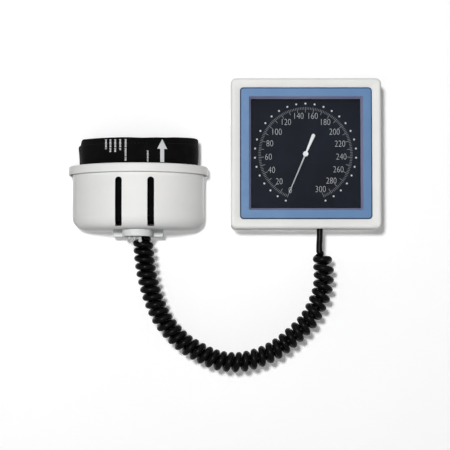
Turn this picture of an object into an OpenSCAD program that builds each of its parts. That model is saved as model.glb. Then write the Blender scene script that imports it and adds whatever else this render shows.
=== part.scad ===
// Wall-mounted aneroid sphygmomanometer: a large square gauge, a basket that holds the rolled cuff,
// and the coiled hose between them. Millimetres.
// +X is right, +Y points into the wall and +Z is up. The wall's face is the plane y = 0, and a place
// d in front of the wall is y = -d. The origin is on the wall, behind the pointer's axis.

/* [Gauge case] */
// Outer width and height of the square case
case_w = 218; // [210:1:230]
// Distance from the wall to the front face of the case
case_d = 62.5; // [60:0.5:70]
// Distance from the wall to the rear edge of the case
case_rear_d = 1.5; // [1:0.5:4]
// Radius of the case's four corners, seen from the front
case_corner_r = 8; // [6:0.5:12]
// Radius that softens the case's front edge
case_edge_r = 4; // [2:0.5:5]
// Wall thickness of the case
case_wall = 3; // [2:0.25:4]
// How far the front border falls from its outer edge to the trim frame
border_dip = 2; // [0.5:0.25:2]
// Diameter of the bosses that take the screws
boss_dia = 9; // [8:0.5:10]
// Diameter of the self-tapping screws
screw_dia = 2.8; // [2.4:0.1:3.2]

/* [Trim frame and window] */
// Width of the white border round the blue trim frame
border_w = 13.5; // [12:0.5:16]
// Corner radius of the trim frame
trim_corner_r = 5; // [3:0.5:7]
// Width of the frame's flat band
trim_band_w = 13; // [10:0.5:15]
// Thickness of the flat band
trim_band_t = 3; // [2:0.25:4]
// How far the band lies below the case's front face
trim_sunk = 0.5; // [0:0.25:1.5]
// Width of the chamfer round the outside of the band
trim_chamfer_w = 1.8; // [1:0.1:2.5]
// Depth of that chamfer
trim_chamfer_h = 2.4; // [1:0.1:2.6]
// Width of the bevel between the band and the window
bevel_w = 3.1; // [2:0.1:4]
// Depth of the bevel, from the band's face to the window
bevel_depth = 8; // [6:0.5:9]
// Thickness of the clear window
lens_t = 2; // [1.5:0.25:3]
// Free depth between the window and the dial, where the pointer runs
pointer_room = 5; // [4.5:0.25:6]

/* [Dial and pointer] */
// Thickness of the dial plate
dial_t = 1; // [0.8:0.1:1.5]
// Length of the pointer from its axis to its tip
pointer_reach = 66.5; // [55:0.5:72]
// Length of the pointer's tail
pointer_tail = 31.5; // [20:0.5:40]
// Width of the pointer's rod
pointer_rod_w = 2; // [1.5:0.1:3]
// Width of the tail at its end
pointer_tail_w = 5.6; // [4:0.2:8]
// Distance from the tip back to the middle of the pointer's spade
spade_to_tip = 9.7; // [8:0.1:14]
// Diameter of the pointer's hub
pointer_hub_dia = 7.6; // [6:0.2:10]
// Angle that the pointer turns from 0 to full scale
scale_sweep = 314; // [300:1:320]

/* [Movement] */
// Module of the pinion and the sector
gear_module = 0.4; // [0.36:0.01:0.42]
// Teeth of the pinion
pinion_teeth = 12; // [12]
// Teeth that the sector would have as a full wheel
sector_teeth = 120; // [120]
// Width of the movement's two plates
plate_w = 58; // [56:1:64]
// Height of the movement's two plates
plate_h = 62; // [60:1:68]
// Thickness of each movement plate
plate_t = 1.5; // [1.2:0.1:2]
// Free space between the two plates
plate_gap = 9.5; // [9.3:0.1:12]
// Free space between the dial and the front plate
dial_gap = 1.5; // [1.3:0.1:3]
// Diameter of the pivots
pivot_dia = 1.2; // [1:0.05:1.4]
// Thickness of the sector plate
sector_t = 1; // [0.8:0.05:1.1]
// Distance from the sector's pivot to the pin on its tail
tail_r = 6; // [5.8:0.1:6.4]
// Length of the rocking shaft's long lever
long_lever = 4; // [3.8:0.05:4.2]
// Length of the rocking shaft's short lever
short_lever = 2.2; // [2.1:0.05:2.3]
// Diameter of the pressure capsule
capsule_dia = 46; // [40:1:48]
// Thickness of the capsule
capsule_t = 6; // [5:0.25:6.5]
// Height of the block that the capsule stands on
capsule_block_h = 5.5; // [5.2:0.1:6]
// Free space between the chassis plate and the rear movement plate
capsule_room = 15; // [14.8:0.1:17]
// Thickness of the chassis plate
chassis_t = 2; // [1.5:0.25:3]

/* [Back of the gauge] */
// Distance from the wall to the back of the rear cover
cover_d = 8; // [7.5:0.25:9]
// Thickness of the rear cover
cover_t = 2.5; // [2:0.25:3]
// Width of the wall bracket
bracket_w = 130; // [120:1:150]
// Height of the wall bracket
bracket_h = 90; // [80:1:110]
// Thickness of the wall bracket's sheet steel
bracket_t = 2; // [1.5:0.25:3]
// Distance between the bracket's wall screws, left to right
bracket_hole_x = 100; // [95:1:106]
// Distance between the bracket's wall screws, top to bottom
bracket_hole_z = 60; // [54:1:66]
// Diameter of the bracket's wall screw holes
bracket_hole_dia = 5; // [4:0.25:6]
// Distance between the two studs that the gauge hangs on
stud_spacing = 84; // [80:1:92]
// Diameter of a hanging stud's shank
stud_dia = 4.5; // [4:0.25:5]

/* [Basket] */
// Width of the basket over its rim
basket_w = 204; // [196:1:212]
// Depth of the basket from the wall to the front of its rim
basket_depth = 105; // [102:0.5:110]
// Height of the basket
basket_h = 92; // [90:1:96]
// Difference between the radii of the front curve and the side curves
basket_curve = 57; // [55:0.5:60]
// Thickness of the basket's walls
basket_wall = 3; // [2:0.25:4]
// How far the rim stands out from the wall below it
rim_out = 6; // [5:0.25:8]
// Height of the rim's band
rim_h = 12.4; // [10:0.2:15]
// Thickness of the rim
rim_t = 2.5; // [2:0.25:3]
// Radius along the rim's top edge
rim_edge_r = 2.4; // [1:0.1:2.4]
// Radius between the basket's wall and its floor
floor_edge_r = 20; // [16:0.5:22]
// Width of the two slots in the front
slot_w = 9.6; // [6:0.1:10.5]
// Distance between the middles of the two slots
slot_spacing = 45.8; // [40:0.2:50]
// Distance from the rim's top to the top of the slots
slot_top = 19.4; // [16:0.2:26]
// Distance between the basket's two wall screws
basket_hole_x = 110; // [90:1:130]
// Diameter of the basket's wall screw holes
basket_hole_dia = 5.5; // [4:0.25:6]

/* [Hose holder] */
// Width of the holder's bar under the basket
holder_w = 74; // [66:1:80]
// Height of the holder
holder_h = 10.9; // [9:0.1:12]
// Width of the holder's rounded lobe
lobe_w = 43; // [41:0.5:46]
// Distance from the wall to the front of the lobe
lobe_front_d = 75; // [73:0.5:78]
// Wall thickness of the holder
holder_wall = 2.5; // [2:0.25:3]

/* [Coiled hose] */
// Outer diameter of the hose
hose_dia = 9; // [8:0.1:9.4]
// Bore of the hose
hose_bore = 5; // [4:0.1:5.5]
// Mean diameter of the coil's turns
coil_dia = 21; // [20:0.2:22]
// Number of turns
coil_turns = 40; // [36:1:41]
// Pitch at the gauge's end over the pitch at the basket's end
pitch_ratio = 1.22; // [1:0.01:1.25]

/* [Cuff and bulb] */
// Width of the cuff's cloth, which is its height as it stands rolled in the basket
cuff_h = 119; // [112:1:124]
// Length of the cuff's cloth
cuff_l = 465; // [440:5:480]
// Radius of the four corners of the cuff's cloth
cuff_corner_r = 9; // [4:0.5:12]
// Thickness of the cuff with its bladder
cuff_t = 8; // [7:0.25:8.5]
// Thickness of the empty bladder
bladder_t = 4; // [3:0.25:4.5]
// Length of the bladder
bladder_l = 220; // [180:5:230]
// Length of the inflation bulb
bulb_l = 78; // [70:1:80]
// Diameter of the release valve's knob
knob_dia = 15; // [12:0.5:16]

/* [Hidden] */

$fn = 64;
HULL_FN = 32; // facets round a hull's curves
eps = 0.01;
fit = 0.25; // clearance all round between mouldings that drop into each other
seat = 0.3; // clearance between pieces that rest together loosely
run = 0.05; // radial clearance of a pivot in its hole

// Depths of the gauge's layers, from the front face back to the wall
trim_face_d = case_d - trim_sunk;
floor_front_d = trim_face_d - trim_band_t;
floor_back_d = floor_front_d - case_wall;
lens_front_d = trim_face_d - bevel_depth;
lens_back_d = lens_front_d - lens_t;
dial_front_d = lens_back_d - pointer_room;
dial_back_d = dial_front_d - dial_t;
front_plate_d1 = dial_back_d - dial_gap;
front_plate_d0 = front_plate_d1 - plate_t;
rear_plate_d1 = front_plate_d0 - plate_gap;
rear_plate_d0 = rear_plate_d1 - plate_t;
chassis_d1 = rear_plate_d0 - capsule_room;
chassis_d0 = chassis_d1 - chassis_t;
cover_d1 = cover_d + cover_t;

// Widths across the gauge
trim_w = case_w - 2 * border_w;
case_in_w = case_w - 2 * case_wall;
opening_w = trim_w - 2 * trim_band_w - 2 * bevel_w;
skirt_w = trim_w - 2 * trim_band_w + 0.4;
window_w = skirt_w + 2 * fit;
well_t = 2.5;
well_w = window_w + 2 * well_t;
ledge_t = 2;
ledge_w = opening_w + 2;
groove_w = trim_w + 2 * fit;
border_in_w = groove_w + 2 * case_wall;
border_flat = 1.5; // flat strip between the case's rounded edge and the border's fall
border_low_d = case_d - border_dip;

// Screws and their bosses
pilot_dia = screw_dia + 0.1;
clear_dia = screw_dia + 0.6;
head_dia = 2.4 * screw_dia;
head_t = 2.2;
web_t = 1.6;
screw_l = 14;
chassis_boss_x = (case_in_w - boss_dia) / 2 - 5.5;
chassis_boss_z = 20;
chassis_window_w = 30;
chassis_window_h = 26;
cover_boss_xz = (case_in_w - boss_dia) / 2 - 4.5;

// Gear train: the sector's pivot is straight under the pointer's axis
pinion_r = gear_module * pinion_teeth / 2;
sector_r = gear_module * sector_teeth / 2;
gear_centres = pinion_r + sector_r;
gear_ratio = sector_teeth / pinion_teeth;
pressure_angle = 25;
addendum = 0.9 * gear_module;
dedendum = 1.15 * gear_module;
backlash = 0.04;
sector_half_turn = scale_sweep / gear_ratio / 2;
sector_z = -gear_centres;
sector_side_teeth = ceil(sector_half_turn * sector_teeth / 360) + 1;
sector_half_angle = (sector_side_teeth + 0.9) * 360 / sector_teeth;
sector_d1 = front_plate_d0 - 1.4;
sector_d0 = sector_d1 - sector_t;
pinion_d0 = sector_d0 - 0.4;
pinion_d1 = sector_d1 + 0.4;
arbor_r = 1;
bore_r = pivot_dia / 2 + run;
hub_r = 2.4;
pin_r = 0.5;
tail_pin_l = 1.3;
tip_r = 0.5;
nose_r = 0.7;
touch = 0.06; // running gap where one lever pushes the next

// Rocking shaft: it lies left to right and turns the capsule's push into a sideways push
rock_d = rear_plate_d1 + 2.3;
rock_z = sector_z + pin_r + tip_r + touch;
rock_half_turn = asin(tail_r * sin(sector_half_turn) / long_lever);
lever_w = 2.4;
lever_t = 0.8;
long_lever_x = -tail_r;
ear_t = 1.2;
right_ear_x = long_lever_x + lever_w / 2 + 0.4;
left_ear_x = -22;
push_x = -14;
push_z = rock_z + short_lever * (1 + cos(rock_half_turn)) / 2;
push_travel = 2 * short_lever * sin(rock_half_turn);
push_tip_d = rock_d - short_lever * sin(rock_half_turn) - nose_r - touch;
push_r = 0.8;

// Movement plates and the pillars that carry them
plate_x = -12;
plate_z = -20;
pillar_inset = 5;
pillar_dx = plate_w / 2 - pillar_inset;
pillar_dz = plate_h / 2 - pillar_inset - 1;
pillar_r = 3;
shank_r = 2;
movement_screw_r = 1.2;
movement_screw_l = 6;
movement_head_t = 1;
dial_foot_r = 1.5;
dial_foot_x = [plate_x - 19, plate_x + 19];
dial_foot_z = [plate_z + 14, plate_z - 14];

// Capsule
capsule_r = capsule_dia / 2;
capsule_d0 = chassis_d1 + capsule_block_h;
capsule_mid_d = capsule_d0 + capsule_t / 2;
capsule_d1 = capsule_d0 + capsule_t;
capsule_sheet = 0.4;
capsule_boss_h = 1;
stud_block_r = 7;
stud_shank_r = 4;
barb_d = chassis_d1 + 2.6;
barb_l = 9;
barb_r = 1.4;
tube_r = 2;

// Hose inlet in the bottom of the case
hose_r = hose_dia / 2;
hose_d = 44;
inlet_x = 20.5;
inlet_r = 6;
inlet_flange_r = 9;
inlet_flange_t = 2.5;
hose_barb_l = 13;
case_bottom_z = -case_w / 2;
case_floor_z = case_bottom_z + case_wall;
inlet_top_z = case_floor_z + inlet_flange_t;
tube_end_z = inlet_top_z;

// Place and plan of the basket. The tangent point of its curves lies on a 3-4-5 triangle.
basket_x = -244.5;
basket_z = -17.5;
side_r = basket_w / 2 - 0.8 * basket_curve;
front_r = side_r + basket_curve;
front_c = basket_depth - front_r;
side_cx = 0.8 * basket_curve;
side_cd = front_c + 0.6 * basket_curve;
body_off = -rim_out;
inner_off = -rim_out - basket_wall;
floor_z = -basket_h + basket_wall;
slot_end_z = floor_z - 0.2;
slot_shift = -0.9; // of the pair of slots from the basket's middle
hose_x = 9.2; // of the hose under the basket, from the basket's middle
hose_hole_r = hose_r + seat;
basket_hole_z = -45;

// Holder under the basket
bar_d0 = 18;
bar_d1 = 32;
lobe_r = lobe_w / 2;
lobe_c = lobe_front_d - lobe_r;
holder_top_z = -basket_h;
holder_z = holder_top_z - holder_h;
holder_screw_x = 30;
finger_d0 = lobe_front_d - 13;
finger_t = 3;
finger_drop = 6;
eye_x = -9.9;
eye_r = 3.4;
eye_hole_r = 1.54;
blade_x = -2.5;
blade_w = 4.2;
tongue_x = 5.2;
tongue_w = 3.8;
tongue_tip_r = 2.66;
bar_corner_r = 3;
holder_screw_d = (bar_d0 + bar_d1) / 2;

// The coil's axis, from the gauge's inlet down and up again to the basket, as [x, z]
ROUTE = [
  [20.5, -109], [20.5, -120], [19.8, -131.5], [20, -143.5], [25.3, -162], [26, -181],
  [23, -201.5], [14.5, -222.5], [3.5, -242], [-17, -263], [-41.5, -282.5], [-67.5, -295],
  [-97, -302], [-128, -299], [-154.5, -287.5], [-180.5, -271], [-205, -244], [-218.5, -217],
  [-227.5, -189], [-233, -161], [-235.3, -137.5], [-236.5, -124], [-235.3, -111], [-235.3, -98]
];
RINGS_A_TURN = 8;
HOSE_SIDES = 6;
coil_start = 32; // length of hose before the first turn
coil_end = 22.5; // and after the last
ramp_in = 1.1; // turns over which the coil widens
ramp_out = 0.5; // and narrows again
coil_phase = 188;

// Inside the gauge, the tube from the capsule to the inlet, as [x, d, z]
TUBE_ROUTE = [
  [-14, barb_d, push_z - stud_block_r], [-14, barb_d, push_z - stud_block_r - 6],
  [-14, barb_d, push_z - stud_block_r - 14], [-12, 21, -58], [-4, 25, -69], [8, 32, -79],
  [18, 39, -86], [inlet_x, 43, -93], [inlet_x, hose_d, -98], [inlet_x, hose_d, inlet_top_z]
];

// The rolled cuff, in plan: a front half and a back half that meet at the widest line
roll_gap = 3;
roll_step = cuff_t + roll_gap;
// The roll lies inside the basket with this much room in front of it and beside it
roll_front_room = 9;
roll_side_room = 4.5;
roll_cx = 3.9;
roll_cd = 26;
roll_w = basket_w + 2 * inner_off - 2 * roll_side_room;
roll_front = basket_depth + inner_off - roll_front_room - roll_cd;
roll_back = 29;
roll_front_n = 2.1;
roll_back_n = 4;
roll_start = 190; // angle of the cuff's outer end
cuff_floor_z = floor_z + 6.5; // the roll rests on the rounded edge of the basket's floor
cuff_top_z = cuff_floor_z + cuff_h;
SPIRAL_STEPS = 48;
strip_w = 50;
strip_t = 1.2;
margin = 10; // cloth beyond the bladder, top and bottom

// Inflation bulb, standing in the left of the roll
bulb_room = 3.5;
bulb_back = 4; // the roll's second turn pushes the bulb back by this much
bulb_x = -22;
roll_hollow_d0 = roll_cd - roll_back + 2 * cuff_t + roll_gap;
roll_hollow_d1 = roll_cd + roll_front - 2 * cuff_t - roll_gap;
bulb_d = (roll_hollow_d0 + roll_hollow_d1) / 2 - bulb_back;
bulb_dia = roll_hollow_d1 - roll_hollow_d0 - 2 * bulb_room;
valve_r = 7;
valve_floor_z = floor_z + seat;
bulb_bottom_z = valve_floor_z + 10;
bulb_top_z = bulb_bottom_z + bulb_l;
neck_h = 8;
spigot_l = 9; // of a valve inside the bulb's neck
valve_bore_r = 1.5;
valve_h = 17;
knob_h = 11;

// Hose connector, standing on the hose's end inside the basket
connector_z = -98;

WHITE_ABS = [0.93, 0.93, 0.92];
BLUE_ABS = [0.42, 0.56, 0.73];
BLACK = [0.10, 0.10, 0.11];
STEEL = [0.72, 0.73, 0.75];
BRASS = [0.80, 0.66, 0.34];
RUBBER = [0.13, 0.13, 0.14];

// Shared shapes
// A 2D shape drawn in x and z, as seen from the front, made solid between two depths
module slab(d0, d1) {
  translate([0, -d0, 0]) rotate([90, 0, 0]) linear_extrude(d1 - d0) children();
}

module ring_2d(outer_w, inner_w) {
  difference() {
    square(outer_w, center = true);
    square(inner_w, center = true);
  }
}

module rounded_2d(w, h, r) {
  square([w - 2 * r, h], center = true);
  square([w, h - 2 * r], center = true);
  for (sx = [-1, 1], sy = [-1, 1])
    translate([sx * (w / 2 - r), sy * (h / 2 - r)]) circle(r);
}

module at_corners(dx, dz) {
  for (sx = [-1, 1], sz = [-1, 1])
    translate([sx * dx, sz * dz]) children();
}

module pan_screw(head_d0, head_d1, tip_d, r, head_r) {
  slab(min(head_d0, head_d1), max(head_d0, head_d1)) circle(head_r);
  slab(min(tip_d, head_d0, head_d1), max(tip_d, head_d0, head_d1)) circle(r);
}

// Catmull-Rom curve through a list of points
function spline_at(p, i, t) =
  let (n = len(p) - 1, a = p[max(i - 1, 0)], b = p[i], c = p[i + 1], d = p[min(i + 2, n)])
  0.5 * (2 * b + (c - a) * t + (2 * a - 5 * b + 4 * c - d) * t * t
    + (3 * b - a - 3 * c + d) * t * t * t);
function spline(p, steps) =
  concat([for (i = [0 : len(p) - 2], k = [0 : steps - 1]) spline_at(p, i, k / steps)],
    [p[len(p) - 1]]);
function lengths(p) =
  [for (i = 0, s = 0; i < len(p); s = s + (i + 1 < len(p) ? norm(p[i + 1] - p[i]) : 0), i = i + 1) s];
function unit(v) = v / norm(v);
function rest_of(v, t) = unit(v - (v * t) * t);

// A closed tube swept along a path. Each ring starts at the direction that refs gives it.
function tangent(path, i) = unit(path[min(i + 1, len(path) - 1)] - path[max(i - 1, 0)]);
function tube_points(path, refs, r, sides) =
  [for (i = [0 : len(path) - 1])
    let (t = tangent(path, i), u = rest_of(refs[i], t), v = cross(t, u))
    for (k = [0 : sides - 1])
      path[i] + r * (cos(360 * k / sides) * u + sin(360 * k / sides) * v)];
function tube_faces(rings, sides) = concat(
  [for (i = [0 : rings - 2], k = [0 : sides - 1])
    let (a = i * sides + k, b = i * sides + (k + 1) % sides)
    each [[a, a + sides, b], [b, a + sides, b + sides]]],
  [for (k = [1 : sides - 2]) [0, k, k + 1]],
  [for (k = [1 : sides - 2], e = (rings - 1) * sides) [e, e + k + 1, e + k]]);
module tube(path, refs, r, sides) {
  polyhedron(tube_points(path, refs, r, sides), tube_faces(len(path), sides), convexity = 10);
}

// Gauge case
module case_block() {
  post = case_d - case_rear_d;
  hull()
    for (sx = [-1, 1], sz = [-1, 1])
      translate([sx * (case_w / 2 - case_corner_r), -case_rear_d, sz * (case_w / 2 - case_corner_r)])
        rotate([90, 0, 0]) rotate_extrude($fn = HULL_FN)
          polygon(concat([[0, post], [0, 0], [case_corner_r, 0]],
            [for (a = [0 : 15 : 90])
              [case_corner_r - case_edge_r * (1 - cos(a)), post - case_edge_r * (1 - sin(a))]]));
}

module gauge_case() {
  color(WHITE_ABS) difference() {
    union() {
      difference() {
        case_block();
        slab(case_rear_d - 1, floor_back_d)
          rounded_2d(case_in_w, case_in_w, case_corner_r - case_wall);
        slab(floor_back_d - 1, (border_low_d + case_d) / 2 - case_wall) difference() {
          rounded_2d(case_in_w, case_in_w, case_corner_r - case_wall);
          square(border_in_w, center = true);
        }
        slab(floor_front_d, case_d + 1) rounded_2d(groove_w, groove_w, trim_corner_r + fit);
        widening_square(border_low_d, groove_w, case_d, case_w - 2 * (case_edge_r + border_flat));
        slab(case_d - eps, case_d + 1) square(case_w - 2 * (case_edge_r + border_flat), center = true);
        slab(floor_back_d - 1, floor_front_d + 1) square(window_w, center = true);
      }
      slab(dial_front_d, floor_front_d - 1) ring_2d(well_w, window_w);
      slab(lens_back_d - ledge_t, lens_back_d) ring_2d(window_w + 1, ledge_w);
      slab(chassis_d1, floor_back_d + 1) at_corners(chassis_boss_x, chassis_boss_z) circle(d = boss_dia);
      slab(cover_d1, floor_back_d + 1) at_corners(cover_boss_xz, cover_boss_xz) circle(d = boss_dia);
      boss_webs();
    }
    slab(chassis_d1 - 1, chassis_d1 + screw_l) at_corners(chassis_boss_x, chassis_boss_z)
      circle(d = pilot_dia);
    slab(cover_d1 - 1, cover_d1 + screw_l) at_corners(cover_boss_xz, cover_boss_xz)
      circle(d = pilot_dia);
    translate([inlet_x, -hose_d, case_bottom_z - 1]) cylinder(r = inlet_r + run, h = case_wall + 2);
  }
}

// Webs that tie each boss to the wall beside it
module boss_webs() {
  wall_x = case_in_w / 2 + 1;
  web_d0 = chassis_d1 + 6;
  for (sx = [-1, 1], sz = [-1, 1]) {
    slab(web_d0, floor_back_d + 1) translate([sx * (chassis_boss_x + wall_x) / 2, sz * chassis_boss_z])
      square([wall_x - chassis_boss_x, web_t], center = true);
    slab(web_d0, floor_back_d + 1) translate([sx * (cover_boss_xz + wall_x) / 2, sz * cover_boss_xz])
      square([wall_x - cover_boss_xz, web_t], center = true);
    slab(web_d0, floor_back_d + 1) translate([sx * cover_boss_xz, sz * (cover_boss_xz + wall_x) / 2])
      square([web_t, wall_x - cover_boss_xz], center = true);
  }
}

// A square opening that widens from one depth to the other: two prisms that cross
module widening_square(d0, w0, d1, w1) {
  side = [[-w0 / 2, d0], [w0 / 2, d0], [w1 / 2, d1], [-w1 / 2, d1]];
  intersection() {
    translate([0, 0, -w1]) mirror([0, 1, 0]) linear_extrude(2 * w1) polygon(side);
    translate([-w1, 0, 0]) rotate([0, 90, 0]) mirror([0, 1, 0]) linear_extrude(2 * w1) polygon(side);
  }
}

// A square slab with round corners and a chamfer round its front: two prisms and four corner posts
module chamfered_square(d0, d1, w, r, cut_w, cut_h) {
  half = w / 2;
  flat = w - 2 * r;
  side = [[-half, d0], [half, d0], [half, d1 - cut_h], [half - cut_w, d1], [cut_w - half, d1],
    [-half, d1 - cut_h]];
  translate([0, 0, -flat / 2]) mirror([0, 1, 0]) linear_extrude(flat) polygon(side);
  translate([-flat / 2, 0, 0]) rotate([0, 90, 0]) mirror([0, 1, 0]) linear_extrude(flat) polygon(side);
  for (sx = [-1, 1], sz = [-1, 1]) translate([sx * flat / 2, -d0, sz * flat / 2]) rotate([90, 0, 0])
    rotate_extrude() polygon([[0, 0], [r, 0], [r, d1 - d0 - cut_h], [r - cut_w, d1 - d0], [0, d1 - d0]]);
}

module trim_frame() {
  cut_h = min(trim_chamfer_h, trim_band_t - 0.4); // the chamfer stays on the band
  color(BLUE_ABS) difference() {
    union() {
      chamfered_square(floor_front_d, trim_face_d, trim_w, trim_corner_r, trim_chamfer_w, cut_h);
      slab(lens_front_d, floor_front_d) square(skirt_w, center = true);
    }
    widening_square(lens_front_d, opening_w, trim_face_d, opening_w + 2 * bevel_w);
    slab(lens_front_d - 1, lens_front_d + eps) square(opening_w, center = true);
    slab(trim_face_d - eps, trim_face_d + 1) square(opening_w + 2 * bevel_w, center = true);
  }
}

module lens() {
  color([0.8, 0.9, 0.95, 0.3]) slab(lens_back_d, lens_front_d) square(skirt_w, center = true);
}

module dial_plate() {
  color(BLACK) {
    difference() {
      slab(dial_back_d, dial_front_d) square(well_w - 1, center = true);
      slab(dial_back_d - 1, dial_front_d + 1) circle(pointer_hub_dia / 2 - 1);
    }
    for (i = [0, 1]) {
      slab(front_plate_d1, dial_back_d) translate([dial_foot_x[i], dial_foot_z[i]])
        circle(dial_foot_r + 1);
      slab(front_plate_d0 - 0.5, front_plate_d1) translate([dial_foot_x[i], dial_foot_z[i]])
        circle(dial_foot_r);
    }
  }
}

// Pointer, drawn pointing up and then turned to 0
blade_d0 = dial_front_d + 1.6;
blade_d1 = blade_d0 + 0.8;
hub_d0 = dial_front_d + 0.6;
hub_d1 = lens_back_d - 1.6;
spade_r = pointer_reach - spade_to_tip;
module pointer() {
  needle_w = 1.1;
  spade_w = 4.7;
  spade_l = 9;
  color("white") rotate([0, -scale_sweep / 2, 0]) difference() {
    union() {
      slab(blade_d0, blade_d1) polygon([
        [-pointer_rod_w / 2, 0], [-pointer_rod_w / 2, spade_r - spade_l / 2],
        [-spade_w / 2, spade_r], [-spade_w / 2.6, spade_r + spade_l / 4],
        [-needle_w / 2, spade_r + spade_l / 2], [-needle_w / 3, pointer_reach],
        [needle_w / 3, pointer_reach], [needle_w / 2, spade_r + spade_l / 2],
        [spade_w / 2.6, spade_r + spade_l / 4], [spade_w / 2, spade_r],
        [pointer_rod_w / 2, spade_r - spade_l / 2], [pointer_rod_w / 2, 0]
      ]);
      slab(blade_d0, blade_d1) polygon([
        [-pointer_rod_w / 2, 0], [pointer_rod_w / 2, 0],
        [pointer_tail_w / 2, -pointer_tail + pointer_tail_w / 2],
        [-pointer_tail_w / 2, -pointer_tail + pointer_tail_w / 2]
      ]);
      slab(blade_d0, blade_d1) translate([0, -pointer_tail + pointer_tail_w / 2])
        circle(d = pointer_tail_w);
      slab(hub_d0, blade_d0) circle(pointer_hub_dia / 2 - 1.6);
      slab(blade_d0, hub_d1) circle(d = pointer_hub_dia);
    }
    slab(hub_d0 - 1, blade_d1) circle(d = pivot_dia);
  }
}

// Gear teeth: half the angle that a tooth takes at radius r
function inv_deg(a) = tan(a) * 180 / PI - a;
function tooth_half(teeth, r) =
  let (rp = gear_module * teeth / 2, rb = rp * cos(pressure_angle))
  90 / teeth - backlash / 2 / rp * 180 / PI + inv_deg(pressure_angle)
    - (r > rb ? inv_deg(acos(rb / r)) : 0);
function tooth(teeth, middle) =
  let (
    rp = gear_module * teeth / 2,
    rb = rp * cos(pressure_angle),
    ra = rp + addendum,
    rf = rp - dedendum,
    flank = [for (k = [0 : 4]) max(rb, rf) + (ra - max(rb, rf)) * k / 4],
    rise = rf < rb ? concat([rf], flank) : flank,
    n = len(rise) - 1
  )
  concat(
    [for (k = [0 : n]) rise[k] * [sin(middle - tooth_half(teeth, rise[k])),
      cos(middle - tooth_half(teeth, rise[k]))]],
    [for (k = [n : -1 : 0]) rise[k] * [sin(middle + tooth_half(teeth, rise[k])),
      cos(middle + tooth_half(teeth, rise[k]))]]);

// The pinion has a tooth space towards the sector at half scale
module pinion_2d() {
  polygon([for (i = [0 : pinion_teeth - 1]) each tooth(pinion_teeth, 180 + (i + 0.5) * 360 / pinion_teeth)]);
}

module pointer_arbor() {
  color(STEEL) {
    slab(rear_plate_d0 + 0.2, hub_d0 + 1.6) circle(d = pivot_dia);
    slab(rear_plate_d1 + 0.2, front_plate_d0 - 0.2) circle(arbor_r);
    slab(rear_plate_d1 + 1.4, rear_plate_d1 + 2.8) circle(arbor_r + 0.6);
    slab(pinion_d0, pinion_d1) rotate(scale_sweep / 2) pinion_2d();
  }
}

// Hairspring: a flat spiral from the arbor's collet out to a post on the rear plate
spring_turns = 4;
spring_in = arbor_r + 0.62;
spring_out = 7.4;
module hairspring() {
  steps = 20;
  half_t = 0.12;
  n = spring_turns * steps;
  function at(k, off) =
    (spring_in + half_t + (spring_out - spring_in) * k / n + off)
      * [cos(180 + 360 * k / steps), sin(180 + 360 * k / steps)];
  color("silver") slab(rear_plate_d1 + 1.7, rear_plate_d1 + 2.5)
    polygon(concat([for (k = [0 : n]) at(k, half_t)], [for (k = [n : -1 : 0]) at(k, -half_t)]));
}

module sector_2d() {
  rim_in = sector_r - dedendum - 2.4;
  arm = 9;
  difference() {
    union() {
      polygon(concat(
        [[0, 0]],
        [for (i = [-sector_side_teeth : sector_side_teeth])
          each tooth(sector_teeth, i * 360 / sector_teeth)]));
      circle(hub_r);
      translate([-tail_r / 2, 0]) square([tail_r, 2.2], center = true);
      translate([-tail_r, 0]) circle(1.1);
    }
    difference() {
      intersection() {
        circle(rim_in);
        polygon([[0, 0], rim_in * 1.2 * [-sin(arm), cos(arm)], rim_in * 1.2 * [sin(arm), cos(arm)]]);
      }
      circle(hub_r + 3);
    }
    circle(arbor_r);
  }
}

module sector_gear() {
  color(BRASS) translate([0, 0, sector_z]) rotate([0, sector_half_turn, 0]) {
    slab(sector_d0, sector_d1) sector_2d();
    slab(sector_d0 - tail_pin_l, sector_d0) translate([-tail_r, 0]) circle(pin_r);
  }
}

module sector_arbor() {
  color(STEEL) translate([0, 0, sector_z]) {
    slab(rear_plate_d0 + 0.2, front_plate_d1 - 0.2) circle(d = pivot_dia);
    slab(rear_plate_d1 + 0.2, front_plate_d0 - 0.2) circle(arbor_r);
    slab(rear_plate_d1 + 3, rear_plate_d1 + 4) circle(arbor_r + 0.7);
  }
}

// Along x from x0 to x1
module rod_x(x0, x1, r) {
  translate([x0, 0, 0]) rotate([0, 90, 0]) cylinder(r = r, h = x1 - x0);
}

// Drawn at half scale, with the long lever forwards and the short one up, then turned back to 0
module rocking_shaft() {
  color(STEEL) translate([0, -rock_d, rock_z]) rotate([-rock_half_turn, 0, 0]) {
    rod_x(left_ear_x + 0.1, right_ear_x + ear_t - 0.1, pivot_dia / 2);
    rod_x(left_ear_x + ear_t + 0.2, right_ear_x - 0.2, arbor_r);
    translate([long_lever_x - lever_w / 2, -long_lever, -lever_t / 2])
      cube([lever_w, long_lever, lever_t]);
    translate([0, -long_lever, 0]) rod_x(long_lever_x - lever_w / 2, long_lever_x + lever_w / 2, tip_r);
    translate([push_x - lever_w / 2, -lever_t / 2, 0]) cube([lever_w, lever_t, short_lever]);
    translate([0, 0, short_lever]) rod_x(push_x - lever_w / 2, push_x + lever_w / 2, nose_r);
  }
}

module push_pin() {
  color(STEEL) translate([push_x, 0, push_z]) {
    slab(capsule_d1, capsule_d1 + capsule_boss_h) circle(3);
    slab(capsule_d1 + capsule_boss_h, push_tip_d) circle(push_r);
  }
}

// Outline shared by the two movement plates
module plate_2d() {
  difference() {
    translate([plate_x, plate_z]) rounded_2d(plate_w, plate_h, 5);
    circle(bore_r);
    translate([0, sector_z]) circle(bore_r);
  }
}

module at_pillars() {
  translate([plate_x, plate_z]) at_corners(pillar_dx, pillar_dz) children();
}

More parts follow.
